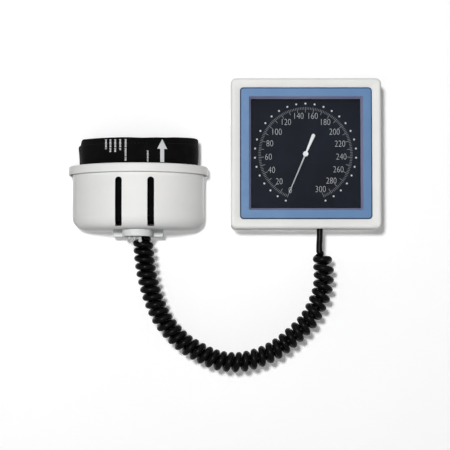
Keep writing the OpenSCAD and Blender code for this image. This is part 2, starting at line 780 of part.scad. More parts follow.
module front_plate() {
  color(BRASS) slab(front_plate_d0, front_plate_d1) difference() {
    plate_2d();
    at_pillars() circle(movement_screw_r + 0.1);
    for (i = [0, 1]) translate([dial_foot_x[i], dial_foot_z[i]]) circle(dial_foot_r + run);
    translate([plate_x - 9, plate_z + 4]) rounded_2d(14, 26, 3);
  }
}

module rear_plate() {
  ear_top_d = rock_d + 1.6;
  color(BRASS) {
    slab(rear_plate_d0, rear_plate_d1) difference() {
      plate_2d();
      at_pillars() circle(shank_r + run);
      translate([push_x, push_z]) circle(push_r + 0.5);
    }
    for (x = [left_ear_x, right_ear_x]) difference() {
      translate([x, -ear_top_d, rock_z - 2.2]) cube([ear_t, ear_top_d - rear_plate_d1, 4.4]);
      translate([0, -rock_d, rock_z]) rod_x(x - 1, x + ear_t + 1, bore_r);
    }
    slab(rear_plate_d1, rear_plate_d1 + 2.8) translate([-spring_out - 0.9, 0]) circle(0.7);
  }
}

module pillars() {
  bore_d = front_plate_d0 - movement_screw_l - 2;
  color(BRASS) difference() {
    union() {
      slab(chassis_d1, rear_plate_d0) at_pillars() circle(pillar_r);
      slab(chassis_d0, front_plate_d0) at_pillars() circle(shank_r);
    }
    slab(bore_d, front_plate_d0 + 1) at_pillars() circle(movement_screw_r + run);
  }
}

module plate_spacers() {
  color(BRASS) slab(rear_plate_d1, front_plate_d0) at_pillars() difference() {
    circle(pillar_r);
    circle(shank_r + run);
  }
}

module movement_screws() {
  color(STEEL) slab(front_plate_d0 - movement_screw_l, front_plate_d1) at_pillars()
    circle(movement_screw_r);
  color(STEEL) slab(front_plate_d1, front_plate_d1 + movement_head_t) at_pillars()
    circle(2 * movement_screw_r);
}

// Height of the capsule's corrugated sheet above its middle plane, at radius r
function sheet_rise(r) =
  r > capsule_r - 2 ? capsule_sheet
    : (capsule_t / 2) - 1.3 * pow(r / (capsule_r - 2), 2) * (capsule_t / 6)
      - 0.35 * (1 - cos(360 * r / 5.5));
module capsule_sheet_profile() {
  n = 18;
  rs = [for (k = [0 : n]) (capsule_r - 2) * k / n];
  top = [for (r = rs) [r, max(sheet_rise(r), capsule_sheet + 0.1)]];
  polygon(concat(top, [[capsule_r - 2, capsule_sheet], [capsule_r, capsule_sheet], [capsule_r, 0],
    [capsule_r - 1.5, 0]], [for (k = [n : -1 : 0]) [rs[k] * 0.985, top[k][1] - capsule_sheet]]));
}

module capsule_front() {
  color(BRASS) translate([push_x, -capsule_mid_d, push_z]) rotate([90, 0, 0])
    rotate_extrude() capsule_sheet_profile();
}

module capsule_rear() {
  color(BRASS) translate([push_x, -capsule_mid_d, push_z]) rotate([-90, 0, 0])
    rotate_extrude() capsule_sheet_profile();
}

module capsule_stud() {
  color(BRASS) {
    translate([push_x, 0, push_z]) {
      slab(chassis_d1, capsule_d0) circle(stud_block_r);
      slab(chassis_d0 - 3, chassis_d1) circle(stud_shank_r);
    }
    translate([push_x, -barb_d, push_z - stud_block_r - barb_l + 0.5]) cylinder(r = barb_r, h = barb_l);
  }
}

module capsule_nut() {
  color(STEEL) translate([push_x, 0, push_z]) slab(chassis_d0 - 2.5, chassis_d0) difference() {
    circle(stud_shank_r + 3, $fn = 6);
    circle(stud_shank_r + run);
  }
}

module inner_tube() {
  flat = [for (p = TUBE_ROUTE) [p[0], -p[1], p[2]]];
  path = spline(flat, 3);
  color([0.85, 0.85, 0.82]) tube(path, [for (p = path) [1, 0.01, 0]], tube_r, 8);
}

module hose_inlet() {
  color(STEEL) translate([inlet_x, -hose_d, 0]) {
    translate([0, 0, case_bottom_z]) cylinder(r = inlet_r, h = case_wall);
    translate([0, 0, case_floor_z]) cylinder(r = inlet_flange_r, h = inlet_flange_t);
    translate([0, 0, inlet_top_z]) cylinder(r = barb_r, h = barb_l);
    translate([0, 0, case_bottom_z - hose_barb_l]) cylinder(d = hose_bore, h = hose_barb_l);
  }
}

module chassis_plate() {
  pad_h = plate_h - 2;
  color(STEEL) slab(chassis_d0, chassis_d1) difference() {
    union() {
      rounded_2d(2 * chassis_boss_x + boss_dia, 2 * chassis_boss_z + 16, 4);
      translate([plate_x, plate_z - 6]) rounded_2d(plate_w + 6, pad_h, 4);
    }
    at_corners(chassis_boss_x, chassis_boss_z) circle(d = clear_dia);
    at_pillars() circle(shank_r + run);
    translate([push_x, push_z]) circle(stud_shank_r + run);
    for (s = [-1, 1]) translate([s * chassis_boss_x * 0.66, 0])
      rounded_2d(chassis_window_w, chassis_window_h, 4);
  }
}

module chassis_screws() {
  color(STEEL) {
    slab(chassis_d0 - head_t, chassis_d0) at_corners(chassis_boss_x, chassis_boss_z)
      circle(d = head_dia);
    slab(chassis_d0, chassis_d1 + screw_l - 2) at_corners(chassis_boss_x, chassis_boss_z)
      circle(d = screw_dia);
  }
}

// Keyhole: the wide end goes over the stud's head, and the narrow end above it rests on the shank
keyhole_drop = 12;
stud_z = 20;
bracket_lip_inset = 15;
stud_head_r = 0.93 * stud_dia;
module keyhole_2d() {
  narrow_r = stud_dia / 2 + seat;
  translate([-narrow_r, -keyhole_drop]) square([2 * narrow_r, keyhole_drop]);
  circle(narrow_r);
  translate([0, -keyhole_drop]) circle(stud_head_r + 0.8);
}

module rear_cover() {
  color(WHITE_ABS) slab(cover_d, cover_d1) difference() {
    rounded_2d(case_in_w - 2 * fit, case_in_w - 2 * fit, case_corner_r - case_wall - fit);
    at_corners(cover_boss_xz, cover_boss_xz) circle(d = clear_dia);
    for (s = [-1, 1]) translate([s * stud_spacing / 2, stud_z]) keyhole_2d();
  }
}

module cover_screws() {
  color(STEEL) {
    slab(cover_d - head_t, cover_d) at_corners(cover_boss_xz, cover_boss_xz) circle(d = head_dia);
    slab(cover_d, cover_d1 + screw_l - 2) at_corners(cover_boss_xz, cover_boss_xz)
      circle(d = screw_dia);
  }
}

module wall_bracket() {
  lip_w = bracket_w - 2 * bracket_lip_inset;
  lip_d = cover_d - 0.7;
  color(STEEL) {
    slab(0, bracket_t) difference() {
      rounded_2d(bracket_w, bracket_h, 6);
      rounded_2d(stud_spacing - 20, bracket_h / 2 - 8, 5);
      at_corners(bracket_hole_x / 2, bracket_hole_z / 2) circle(d = bracket_hole_dia);
      for (s = [-1, 1]) translate([s * stud_spacing / 2, stud_z]) circle(stud_dia / 2 + run);
    }
    for (s = [-1, 1])
      slab(0, lip_d) translate([0, s * (bracket_h - bracket_t) / 2])
        square([lip_w, bracket_t], center = true);
  }
}

module hanging_studs() {
  color(STEEL) for (s = [-1, 1]) translate([s * stud_spacing / 2, 0, stud_z]) {
    slab(0, cover_d1 + seat) circle(d = stud_dia);
    slab(bracket_t, bracket_t + 1.2) circle(d = stud_dia + 2.5);
    slab(cover_d1 + seat, cover_d1 + seat + 2) circle(stud_head_r);
  }
}

// The basket's D-shaped plan. Three kinds of region share straight borders: the front curve, the two
// side curves, and the blocks beside the wall. Each turns the same profile about its own centre.
module front_wedge_2d() {
  far = 2 * front_r;
  polygon([[0, -front_c], [0.8 * far, -front_c - 0.6 * far], [0, -front_c - 1.3 * far],
    [-0.8 * far, -front_c - 0.6 * far]]);
}

module side_wedge_2d(s) {
  far = 2 * front_r;
  polygon([[s * side_cx, -side_cd], [s * (side_cx + 0.8 * far), -side_cd - 0.6 * far],
    [s * (side_cx + far), -side_cd]]);
}

module block_2d(s) {
  start_x = front_c < 0 ? -front_c * 4 / 3 : 0;
  start_d = front_c < 0 ? 0 : front_c;
  polygon([[s * start_x, -start_d], [s * start_x, 0], [s * 2 * front_r, 0],
    [s * 2 * front_r, -side_cd], [s * side_cx, -side_cd]]);
}

// Profile of the solid at one of its curves: a rectangle with its outer corners rounded
module profile_2d(r, z0, z1, low_r, high_r) {
  difference() {
    translate([0, z0]) square([r, z1 - z0]);
    if (low_r > 0) translate([r - low_r, z0 - low_r]) difference() {
      square([low_r + 1, 2 * low_r]);
      translate([0, 2 * low_r]) circle(low_r);
    }
    if (high_r > 0) translate([r - high_r, z1 - high_r]) difference() {
      square([high_r + 1, high_r + 1]);
      circle(high_r);
    }
  }
}

module d_solid(off, z0, z1, low_r = 0, high_r = 0) {
  intersection() {
    union() {
      intersection() {
        translate([0, -front_c, 0]) rotate_extrude() profile_2d(front_r + off, z0, z1, low_r, high_r);
        translate([0, 0, z0 - 1]) linear_extrude(z1 - z0 + 2) front_wedge_2d();
      }
      for (s = [-1, 1]) {
        intersection() {
          translate([s * side_cx, -side_cd, 0]) rotate_extrude()
            profile_2d(side_r + off, z0, z1, low_r, high_r);
          translate([0, 0, z0 - 1]) linear_extrude(z1 - z0 + 2) side_wedge_2d(s);
        }
        intersection() {
          rotate([90, 0, 0]) linear_extrude(side_cd) mirror([s < 0 ? 1 : 0, 0])
            profile_2d(basket_w / 2 + off, z0, z1, low_r, high_r);
          translate([0, 0, z0 - 1]) linear_extrude(z1 - z0 + 2) block_2d(s);
        }
      }
    }
    translate([-basket_w, -2 * basket_depth, z0 - 1]) cube([2 * basket_w, 2 * basket_depth, z1 - z0 + 2]);
  }
}

module slot_cut(x) {
  slab(basket_depth - floor_edge_r - 14, basket_depth + 1) {
    translate([x - slot_w / 2, slot_end_z]) square([slot_w, -slot_top - slot_w / 2 - slot_end_z]);
    translate([x, -slot_top - slot_w / 2]) circle(d = slot_w);
  }
}

module basket_shell() {
  color(WHITE_ABS) translate([basket_x, 0, basket_z]) difference() {
    union() {
      d_solid(body_off, -basket_h, -rim_t, low_r = floor_edge_r);
      difference() {
        d_solid(0, -rim_h, 0, high_r = rim_edge_r);
        d_solid(-rim_t, -rim_h - 1, -rim_t);
      }
    }
    intersection() {
      d_solid(inner_off, floor_z, 1, low_r = floor_edge_r - basket_wall);
      translate([-basket_w, -2 * basket_depth, -basket_h]) cube([2 * basket_w, 2 * basket_depth - basket_wall,
        basket_h + 2]);
    }
    for (s = [-1, 1]) slot_cut(slot_shift + s * slot_spacing / 2);
    for (s = [-1, 1]) slab(-1, basket_wall + 1) translate([s * basket_hole_x / 2, basket_hole_z])
      circle(d = basket_hole_dia);
    translate([hose_x, -hose_d, -basket_h - 1]) cylinder(r = hose_hole_r, h = basket_wall + 2);
    for (s = [-1, 1]) translate([s * holder_screw_x, -holder_screw_d, -basket_h - 1])
      cylinder(d = pilot_dia, h = basket_wall + 2);
  }
}

// Plan of the holder: a round-cornered bar along the wall side and a lobe with a round front
module holder_2d(off) {
  translate([0, -(bar_d0 + bar_d1) / 2])
    rounded_2d(holder_w + 2 * off, bar_d1 - bar_d0 + 2 * off, bar_corner_r + off);
  translate([-lobe_r - off, -lobe_c]) square([lobe_w + 2 * off, lobe_c - bar_d0 + off]);
  translate([0, -lobe_c]) circle(lobe_r + off);
}

// Three fingers hang from the lobe in front of the hose's first turn: an eye, a blade and a tongue
module fingers() {
  root_z = holder_top_z - holder_wall;
  tip_z = holder_z - finger_drop;
  slab(finger_d0, finger_d0 + finger_t) {
    translate([eye_x, 0]) difference() {
      union() {
        translate([-eye_r / 2, tip_z]) square([eye_r, root_z - tip_z]);
        translate([0, tip_z]) circle(eye_r);
      }
      translate([0, tip_z]) circle(eye_hole_r);
    }
    translate([blade_x, 0]) polygon([[-blade_w / 2, root_z], [blade_w / 2, root_z],
      [blade_w / 4, tip_z], [-blade_w / 4, tip_z]]);
    translate([tongue_x, 0]) {
      translate([-tongue_w / 2, tip_z]) square([tongue_w, root_z - tip_z]);
      translate([0, tip_z]) circle(tongue_tip_r);
    }
  }
}

module hose_holder() {
  color(WHITE_ABS) translate([basket_x, 0, basket_z]) difference() {
    union() {
      difference() {
        translate([0, 0, holder_z]) linear_extrude(holder_h) holder_2d(0);
        translate([0, 0, holder_z - 1]) linear_extrude(holder_h + 1 - holder_wall) holder_2d(-holder_wall);
      }
      fingers();
    }
    translate([hose_x, -hose_d, holder_z]) cylinder(r = hose_hole_r, h = holder_h + 1);
    for (s = [-1, 1]) translate([s * holder_screw_x, -holder_screw_d, holder_z])
      cylinder(d = clear_dia, h = holder_h + 1);
  }
}

module holder_screws() {
  color(STEEL) translate([basket_x, 0, basket_z])
    for (s = [-1, 1]) translate([s * holder_screw_x, -holder_screw_d, 0]) {
      translate([0, 0, holder_top_z - holder_wall - head_t]) cylinder(d = head_dia, h = head_t);
      translate([0, 0, holder_top_z - holder_wall]) cylinder(d = screw_dia, h = holder_wall + basket_wall);
    }
}

// Coiled hose: a helix wound round the smooth curve through ROUTE
axis_pts = spline(ROUTE, 8);
axis_s = lengths(axis_pts);
axis_l = axis_s[len(axis_s) - 1];
axis_x = [for (i = [0 : len(axis_pts) - 1]) [axis_s[i], axis_pts[i][0]]];
axis_z = [for (i = [0 : len(axis_pts) - 1]) [axis_s[i], axis_pts[i][1]]];
function axis_at(s) = [lookup(s, axis_x), -hose_d, lookup(s, axis_z)];
function axis_dir(s) = unit(axis_at(min(s + 1, axis_l)) - axis_at(max(s - 1, 0)));
coil_l = axis_l - coil_start - coil_end;
low_pitch = 2 * coil_l / coil_turns / (1 + pitch_ratio);
pitch_drift = (low_pitch - pitch_ratio * low_pitch) / 2 / coil_turns;
function coil_s(u) = coil_start + pitch_ratio * low_pitch * u + pitch_drift * u * u;
function smooth(t) = let (k = min(max(t, 0), 1)) k * k * (3 - 2 * k);
function coil_r(u) = coil_dia / 2 * smooth(u / ramp_in) * smooth((coil_turns - u) / ramp_out);
function out_from_axis(s, turn) =
  let (t = axis_dir(s), side = [0, 1, 0], up = cross(side, t))
  cos(coil_phase + 360 * turn) * side + sin(coil_phase + 360 * turn) * up;
coil_rings = coil_turns * RINGS_A_TURN;
lead_rings = 3;
hose_refs = concat(
  [for (k = [0 : lead_rings - 1]) out_from_axis(coil_start * k / lead_rings, 0)],
  [for (k = [0 : coil_rings]) out_from_axis(coil_s(k / RINGS_A_TURN), k / RINGS_A_TURN)],
  [for (k = [1 : lead_rings]) out_from_axis(axis_l - coil_end * (1 - k / lead_rings), coil_turns)]);
hose_path = concat(
  [for (k = [0 : lead_rings - 1]) axis_at(coil_start * k / lead_rings)],
  [for (k = [0 : coil_rings]) let (u = k / RINGS_A_TURN)
    axis_at(coil_s(u)) + coil_r(u) * out_from_axis(coil_s(u), u)],
  [for (k = [1 : lead_rings]) axis_at(axis_l - coil_end * (1 - k / lead_rings))]);

module coil_hose() {
  n = len(hose_path) - 1;
  skip = RINGS_A_TURN - 1;
  gap = min([for (i = [0 : n - skip], j = [i + skip : min(i + 3 * RINGS_A_TURN, n)])
    norm(hose_path[i] - hose_path[j])]) - hose_dia;
  length = lengths(hose_path)[n];
  echo("coil_hose: least gap between turns", gap, "length", length, "pitch", low_pitch * pitch_ratio, low_pitch);
  color(RUBBER) tube(hose_path, hose_refs, hose_r, HOSE_SIDES);
}

module hose_connector() {
  color(STEEL) translate([basket_x + hose_x, -hose_d, connector_z]) {
    translate([0, 0, -12]) cylinder(d = hose_bore, h = 12);
    rotate_extrude() polygon([[0, 0], [6, 0], [6.5, 0.8], [6.5, 9], [5, 11], [4, 11.5], [4, 16], [0, 16]]);
    translate([0, 0, 16]) cylinder(r = 3, h = 12);
  }
}

// A point of the roll's plan at an angle, with its radii moved in or out
function half_power(v, n) = sign(v) * pow(abs(v), 2 / n);
function roll_point(angle, off) =
  let (c = cos(angle), s = sin(angle), n = s < 0 ? roll_front_n : roll_back_n)
  [roll_cx + (roll_w / 2 + off) * half_power(c, n),
    -roll_cd + ((s < 0 ? roll_front : roll_back) + off) * half_power(s, n)];
// Along the strip, t counts turns from the outer end inwards
function strip_edge(t0, t1, off) =
  let (n = ceil((t1 - t0) * SPIRAL_STEPS))
  [for (k = [0 : n]) let (t = t0 + (t1 - t0) * k / n)
    roll_point(roll_start + 360 * t, -cuff_t / 2 - roll_step * t + off)];
function reversed(p) = [for (k = [len(p) - 1 : -1 : 0]) p[k]];
module strip_2d(t0, t1, in_off, out_off) {
  polygon(concat(strip_edge(t0, t1, out_off), reversed(strip_edge(t0, t1, in_off))));
}
module stand(z0, z1) {
  translate([basket_x, 0, basket_z + z0]) linear_extrude(z1 - z0) children();
}

roll_turn_l = lengths(strip_edge(0, 1, 0))[SPIRAL_STEPS];
// Every end lies on a step of the spiral, so that the layers' faces match
function turns_of(l) = round(l / roll_turn_l * SPIRAL_STEPS) / SPIRAL_STEPS;
spiral_step = 1 / SPIRAL_STEPS;
cuff_turns = turns_of(cuff_l);
bladder_t0 = 6 * spiral_step;
bladder_t1 = bladder_t0 + turns_of(bladder_l);
strip_turns = turns_of(strip_w);
strip_gap = 0.05;
port_flange_r = 5;
port_x = roll_point(0, -cuff_t - roll_step * (360 - roll_start) / 360)[0] - 0.5;
port_d = roll_cd;
port_z = 8;
// What rounds off the cloth's two corners at one end. way is 1 at the outer end and -1 at the inner.
module end_corners(t, way) {
  function on_strip(t) = roll_point(roll_start + 360 * t, -cuff_t / 2 - roll_step * t);
  p = on_strip(t);
  along = on_strip(t + way * spiral_step / 2) - p;
  r = cuff_corner_r;
  translate([basket_x + p[0], p[1], basket_z + (cuff_floor_z + cuff_top_z) / 2])
    rotate(atan2(along[1], along[0])) rotate([90, 0, 0]) linear_extrude(cuff_t + roll_gap, center = true)
      for (s = [-1, 1]) difference() {
        translate([-1, s * (cuff_h / 2 + 1) - (s > 0 ? r + 1 : 0)]) square(r + 1);
        translate([r, s * (cuff_h / 2 - r)]) circle(r);
      }
}

module cuff_sleeve() {
  room = 0.25;
  color(BLACK) difference() {
    stand(cuff_floor_z, cuff_top_z) strip_2d(0, cuff_turns, -cuff_t / 2, cuff_t / 2);
    end_corners(0, 1);
    end_corners(cuff_turns, -1);
    stand(cuff_floor_z + margin - room, cuff_top_z - margin + room)
      strip_2d(bladder_t0 - spiral_step, bladder_t1 + spiral_step, -bladder_t / 2 - room,
        bladder_t / 2 + room);
  }
}

module bladder() {
  color(RUBBER) stand(cuff_floor_z + margin, cuff_top_z - margin)
    strip_2d(bladder_t0, bladder_t1, -bladder_t / 2, bladder_t / 2);
}

module bladder_port() {
  color(RUBBER) translate([basket_x, -port_d, basket_z + port_z]) {
    rod_x(port_x - 1, port_x, port_flange_r);
    rod_x(port_x - 15, port_x, 3);
  }
}

// The hooks are inside the roll's outer end and grip the loops on the turn under it
module hook_strip() {
  color(BLACK) stand(cuff_floor_z + margin, cuff_top_z - margin)
    strip_2d(spiral_step, spiral_step + strip_turns, -cuff_t / 2 - strip_gap - strip_t,
      -cuff_t / 2 - strip_gap);
}

module loop_strip() {
  color(BLACK) stand(cuff_floor_z + margin, cuff_top_z - margin)
    strip_2d(1 + spiral_step, 1 + spiral_step + strip_turns, cuff_t / 2 + strip_gap,
      cuff_t / 2 + strip_gap + strip_t);
}

module on_bulb_axis() {
  translate([basket_x + bulb_x, -bulb_d, basket_z]) children();
}

// Egg-shaped outline of the bulb, moved in by off
module bulb_profile(off) {
  steps = 16;
  r = bulb_dia / 2 - off;
  half = bulb_l / 2 - off;
  neck = 5;
  polygon(concat([[0, -half]], [for (k = [1 : steps - 1]) let (a = -90 + 180 * k / steps)
    [r * pow(cos(a), 0.8) * (1 - 0.1 * sin(a)), half * sin(a)]], [[0, half]]));
}

module inflation_bulb() {
  neck_r = valve_r + 2;
  color(RUBBER) on_bulb_axis() difference() {
    union() {
      translate([0, 0, (bulb_bottom_z + bulb_top_z) / 2]) rotate_extrude() bulb_profile(0);
      translate([0, 0, bulb_bottom_z]) cylinder(r = neck_r, h = neck_h);
      translate([0, 0, bulb_top_z - neck_h]) cylinder(r = neck_r, h = neck_h);
    }
    translate([0, 0, (bulb_bottom_z + bulb_top_z) / 2]) rotate_extrude() bulb_profile(3);
    translate([0, 0, bulb_bottom_z - 1]) cylinder(r = valve_r - 1, h = bulb_l + 2);
  }
}

module inlet_valve() {
  color(STEEL) on_bulb_axis() difference() {
    union() {
      translate([0, 0, valve_floor_z]) cylinder(r = valve_r + 1, h = bulb_bottom_z - valve_floor_z);
      translate([0, 0, bulb_bottom_z]) cylinder(r = valve_r - 1, h = spigot_l);
    }
    translate([0, 0, valve_floor_z - 1])
      cylinder(r = valve_bore_r, h = bulb_bottom_z - valve_floor_z + spigot_l + 2);
  }
}

stem_r = 2;
module valve_body() {
  color(STEEL) on_bulb_axis() difference() {
    union() {
      translate([0, 0, bulb_top_z - spigot_l]) cylinder(r = valve_r - 1, h = spigot_l);
      translate([0, 0, bulb_top_z]) cylinder(r = valve_r, h = valve_h);
      translate([0, 0, bulb_top_z + 6]) rotate([0, 90, 0]) cylinder(r = 3, h = valve_r + 9);
    }
    translate([0, 0, bulb_top_z + valve_h - 8]) cylinder(r = stem_r + run, h = 9);
    translate([0, 0, bulb_top_z - spigot_l - 1]) cylinder(r = valve_bore_r, h = valve_h + spigot_l - 5);
  }
}

module release_knob() {
  grips = 12;
  knob_r = knob_dia / 2;
  color(STEEL) on_bulb_axis() translate([0, 0, bulb_top_z + valve_h]) {
    translate([0, 0, -6]) cylinder(r = stem_r, h = 7);
    translate([0, 0, seat]) difference() {
      cylinder(r = knob_r, h = knob_h);
      for (i = [0 : grips - 1]) rotate(360 * i / grips) translate([knob_r + 0.4, 0, -1])
        cylinder(r = 1.2, h = knob_h + 2);
    }
  }
}

gauge_case();
trim_frame();
lens();
dial_plate();
pointer();
pointer_arbor();
hairspring();
sector_gear();
sector_arbor();
rocking_shaft();
push_pin();
front_plate();
rear_plate();
pillars();
plate_spacers();
movement_screws();
capsule_front();
capsule_rear();
capsule_stud();
capsule_nut();
inner_tube();
hose_inlet();
chassis_plate();
chassis_screws();
rear_cover();
cover_screws();
wall_bracket();
hanging_studs();
basket_shell();
hose_holder();
holder_screws();
coil_hose();
hose_connector();
cuff_sleeve();
bladder();
bladder_port();
hook_strip();
loop_strip();
inflation_bulb();
inlet_valve();
valve_body();
release_knob();
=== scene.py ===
# %% [markdown]
# # A wall-mounted blood pressure gauge, its basket and its coiled hose
# A square aneroid gauge hangs on the wall. Beside it a basket holds the rolled arm cuff with its bulb,
# and a coiled hose joins the two. The CAD model fixes every size and place. This lesson builds the
# pieces that the eye meets around that fixed frame, and gives every surface the finish of the real one.

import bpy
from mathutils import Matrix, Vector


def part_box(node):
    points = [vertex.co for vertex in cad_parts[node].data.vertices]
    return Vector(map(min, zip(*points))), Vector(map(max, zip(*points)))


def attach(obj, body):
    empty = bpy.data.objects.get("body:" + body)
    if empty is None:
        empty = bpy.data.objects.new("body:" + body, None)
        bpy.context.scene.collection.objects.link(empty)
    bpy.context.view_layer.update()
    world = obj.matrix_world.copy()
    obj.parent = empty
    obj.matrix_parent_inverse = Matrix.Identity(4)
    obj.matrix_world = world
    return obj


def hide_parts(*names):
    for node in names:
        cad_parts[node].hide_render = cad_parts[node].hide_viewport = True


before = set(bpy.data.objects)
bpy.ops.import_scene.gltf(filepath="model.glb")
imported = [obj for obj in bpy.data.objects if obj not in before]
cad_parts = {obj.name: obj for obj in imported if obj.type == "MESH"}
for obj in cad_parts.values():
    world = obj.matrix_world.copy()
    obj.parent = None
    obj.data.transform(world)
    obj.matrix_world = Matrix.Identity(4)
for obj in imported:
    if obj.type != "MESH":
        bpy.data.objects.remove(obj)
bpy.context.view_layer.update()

# %% What the script uses
import bisect
import math

import bmesh
import bpy
from mathutils import Matrix, Vector, noise
from mathutils.bvhtree import BVHTree

# %% [markdown]
# ## One way of writing places
# The object is drawn as a maker would sketch it: x to the right, d out from the wall and z up, all in
# millimetres. One function turns such a place into Blender's metres, where +Y points into the wall.

# %% Places in millimetres
MM = 0.001


def place(x, d, z):
    """The point x to the right, d in front of the wall and z up, given in millimetres."""
    return Vector((x * MM, -d * MM, z * MM))


def node_box(node):
    """The lowest and highest x, d and z of a CAD node, in millimetres."""
    low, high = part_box(node)
    return {
        "x": (low.x / MM, high.x / MM),
        "d": (-high.y / MM, -low.y / MM),
        "z": (low.z / MM, high.z / MM),
    }


print("gauge case", node_box("gauge_case"))

# %% [markdown]
# ## The camera
# The photograph was taken from far away with a long lens, a little below and to the left of the gauge:
# the basket's rim arches upwards and the underside of the hose holder shows. A camera at the same place
# gives the same small perspective, so the silhouettes can be compared point by point.

# %% Camera
CAMERA_DISTANCE = 2.0
CAMERA_X = -0.1172
CAMERA_Z = -0.1977
CAMERA_TILT_DEG = 92.763
LENS_MM = 107.76


def put_in_scene(name, data):
    """A new object that shows the data, linked into the scene."""
    made = bpy.data.objects.new(name, data)
    bpy.context.scene.collection.objects.link(made)
    return made


def evaluated(piece):
    """The piece as its modifiers leave it."""
    return piece.evaluated_get(bpy.context.evaluated_depsgraph_get())


camera_data = bpy.data.cameras.new("photo_camera")
camera_data.lens = LENS_MM
camera = put_in_scene("photo_camera", camera_data)
camera.location = (CAMERA_X, -CAMERA_DISTANCE, CAMERA_Z)
camera.rotation_euler = (math.radians(CAMERA_TILT_DEG), 0, 0)
bpy.context.scene.camera = camera
print("camera", tuple(round(v, 4) for v in camera.location))

# %% [markdown]
# ## The coiled hose
# One black tube, 9 mm thick, leaves the gauge's inlet, winds 40 times round a sagging line and goes up
# into the basket. The line is a smooth curve through given points. The coil is a formula: at each
# step along the line the tube stands out from it by the coil's radius, and the direction of that radius
# turns once per turn. The radius grows from nothing at the start, as on the real hose, and shrinks at
# the end. A curve with a round bevel draws the tube along that line, and its mesh becomes the piece.

# %% The line that the coil follows
HOSE_D = 44
HOSE_DIA = 9
ROUTE = [
    (20.5, -109), (20.5, -120), (19.8, -131.5), (20, -143.5), (25.3, -162), (26, -181),
    (23, -201.5), (14.5, -222.5), (3.5, -242), (-17, -263), (-41.5, -282.5), (-67.5, -295),
    (-97, -302), (-128, -299), (-154.5, -287.5), (-180.5, -271), (-205, -244), (-218.5, -217),
    (-227.5, -189), (-233, -161), (-235.3, -137.5), (-236.5, -124), (-235.3, -111), (-235.3, -98),
]


def spline_point(points, i, t):
    """A point of the Catmull-Rom curve between points i and i + 1."""
    last = len(points) - 1
    a, b, c, d = points[max(i - 1, 0)], points[i], points[i + 1], points[min(i + 2, last)]
    bend = (2 * a - 5 * b + 4 * c - d) * t**2 + (3 * b - a - 3 * c + d) * t**3
    return 0.5 * (2 * b + (c - a) * t + bend)


def running_lengths(points):
    """The length of the line up to each of its points."""
    lengths = [0.0]
    for a, b in zip(points, points[1:]):
        lengths.append(lengths[-1] + (b - a).length)
    return lengths


STEPS_A_SPAN = 8
route_points = [Vector(p) for p in ROUTE]
axis = [spline_point(route_points, i, k / STEPS_A_SPAN)
        for i in range(len(ROUTE) - 1) for k in range(STEPS_A_SPAN)]
axis.append(route_points[-1])
axis_lengths = running_lengths(axis)
axis_total = axis_lengths[-1]
print("the coil's axis is", round(axis_total), "mm long")

# %% The tube wound round it
COIL_DIA = 21
TURNS = 40
PITCH_RATIO = 1.22
LEAD_IN = 32
LEAD_OUT = 22.5
RAMP_IN = 1.1
RAMP_OUT = 0.5
PHASE = 188
POINTS_A_TURN = 24
low_pitch = 2 * (axis_total - LEAD_IN - LEAD_OUT) / TURNS / (1 + PITCH_RATIO)
pitch_drift = (low_pitch - PITCH_RATIO * low_pitch) / 2 / TURNS


def axis_at(s):
    """The point of the coil's axis at length s, as x and z."""
    s = min(max(s, 0), axis_total)
    i = min(max(bisect.bisect_right(axis_lengths, s) - 1, 0), len(axis) - 2)
    share = (s - axis_lengths[i]) / (axis_lengths[i + 1] - axis_lengths[i])
    return axis[i].lerp(axis[i + 1], share)


def ease(t):
    """0 before 0, 1 after 1, and a smooth rise between."""
    t = min(max(t, 0), 1)
    return t * t * (3 - 2 * t)


def coil_point(turn):
    """The middle of the tube after so many turns, as x, d and z."""
    s = LEAD_IN + PITCH_RATIO * low_pitch * turn + pitch_drift * turn**2
    middle = axis_at(s)
    along = (axis_at(s + 1) - axis_at(s - 1)).normalized()
    radius = COIL_DIA / 2 * ease(turn / RAMP_IN) * ease((TURNS - turn) / RAMP_OUT)
    angle = math.radians(PHASE + 360 * turn)
    across = radius * math.sin(angle)
    return middle.x + across * along.y, HOSE_D - radius * math.cos(angle), middle.y - across * along.x


LEAD_POINTS = 4
lead_in = [axis_at(LEAD_IN * k / LEAD_POINTS) for k in range(LEAD_POINTS)]
lead_out = [axis_at(axis_total - LEAD_OUT * (1 - k / LEAD_POINTS)) for k in range(1, LEAD_POINTS + 1)]
hose_places = [(p.x, HOSE_D, p.y) for p in lead_in]
hose_places += [coil_point(k / POINTS_A_TURN) for k in range(TURNS * POINTS_A_TURN + 1)]
hose_places += [(p.x, HOSE_D, p.y) for p in lead_out]
hose_line = [place(*p) for p in hose_places]
hose_length = running_lengths(hose_line)[-1]
print("the hose is", round(hose_length, 3), "m long")

# %% The tube's mesh
hose_curve = bpy.data.curves.new("hose_line", "CURVE")
hose_curve.dimensions = "3D"
hose_curve.bevel_depth = HOSE_DIA / 2 * MM
hose_curve.bevel_resolution = 5
hose_curve.use_fill_caps = True
spline = hose_curve.splines.new("POLY")
spline.points.add(len(hose_line) - 1)
for point, co in zip(spline.points, hose_line):
    point.co = (*co, 1)
spline.use_smooth = True
hose_mesh = bpy.data.meshes.new_from_object(evaluated(put_in_scene("hose_line", hose_curve)))
bpy.data.curves.remove(hose_curve)
hose_mesh.name = "coil_hose_tube"
print("the hose has", len(hose_mesh.polygons), "faces")

# %% The hose as a piece
hose = put_in_scene("coil_hose_tube", hose_mesh)
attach(hose, "wall_unit")
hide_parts("coil_hose")

# %% [markdown]
# ## Finishes
# Every material starts as a plain Principled shader with the typical values of the real stuff. Patterns
# are then added with nodes that read Object coordinates, in metres, so a grain of 2 mm needs a scale of
# 1 / 0.002. Colours are written as the sRGB hex values that a paint chart would give.

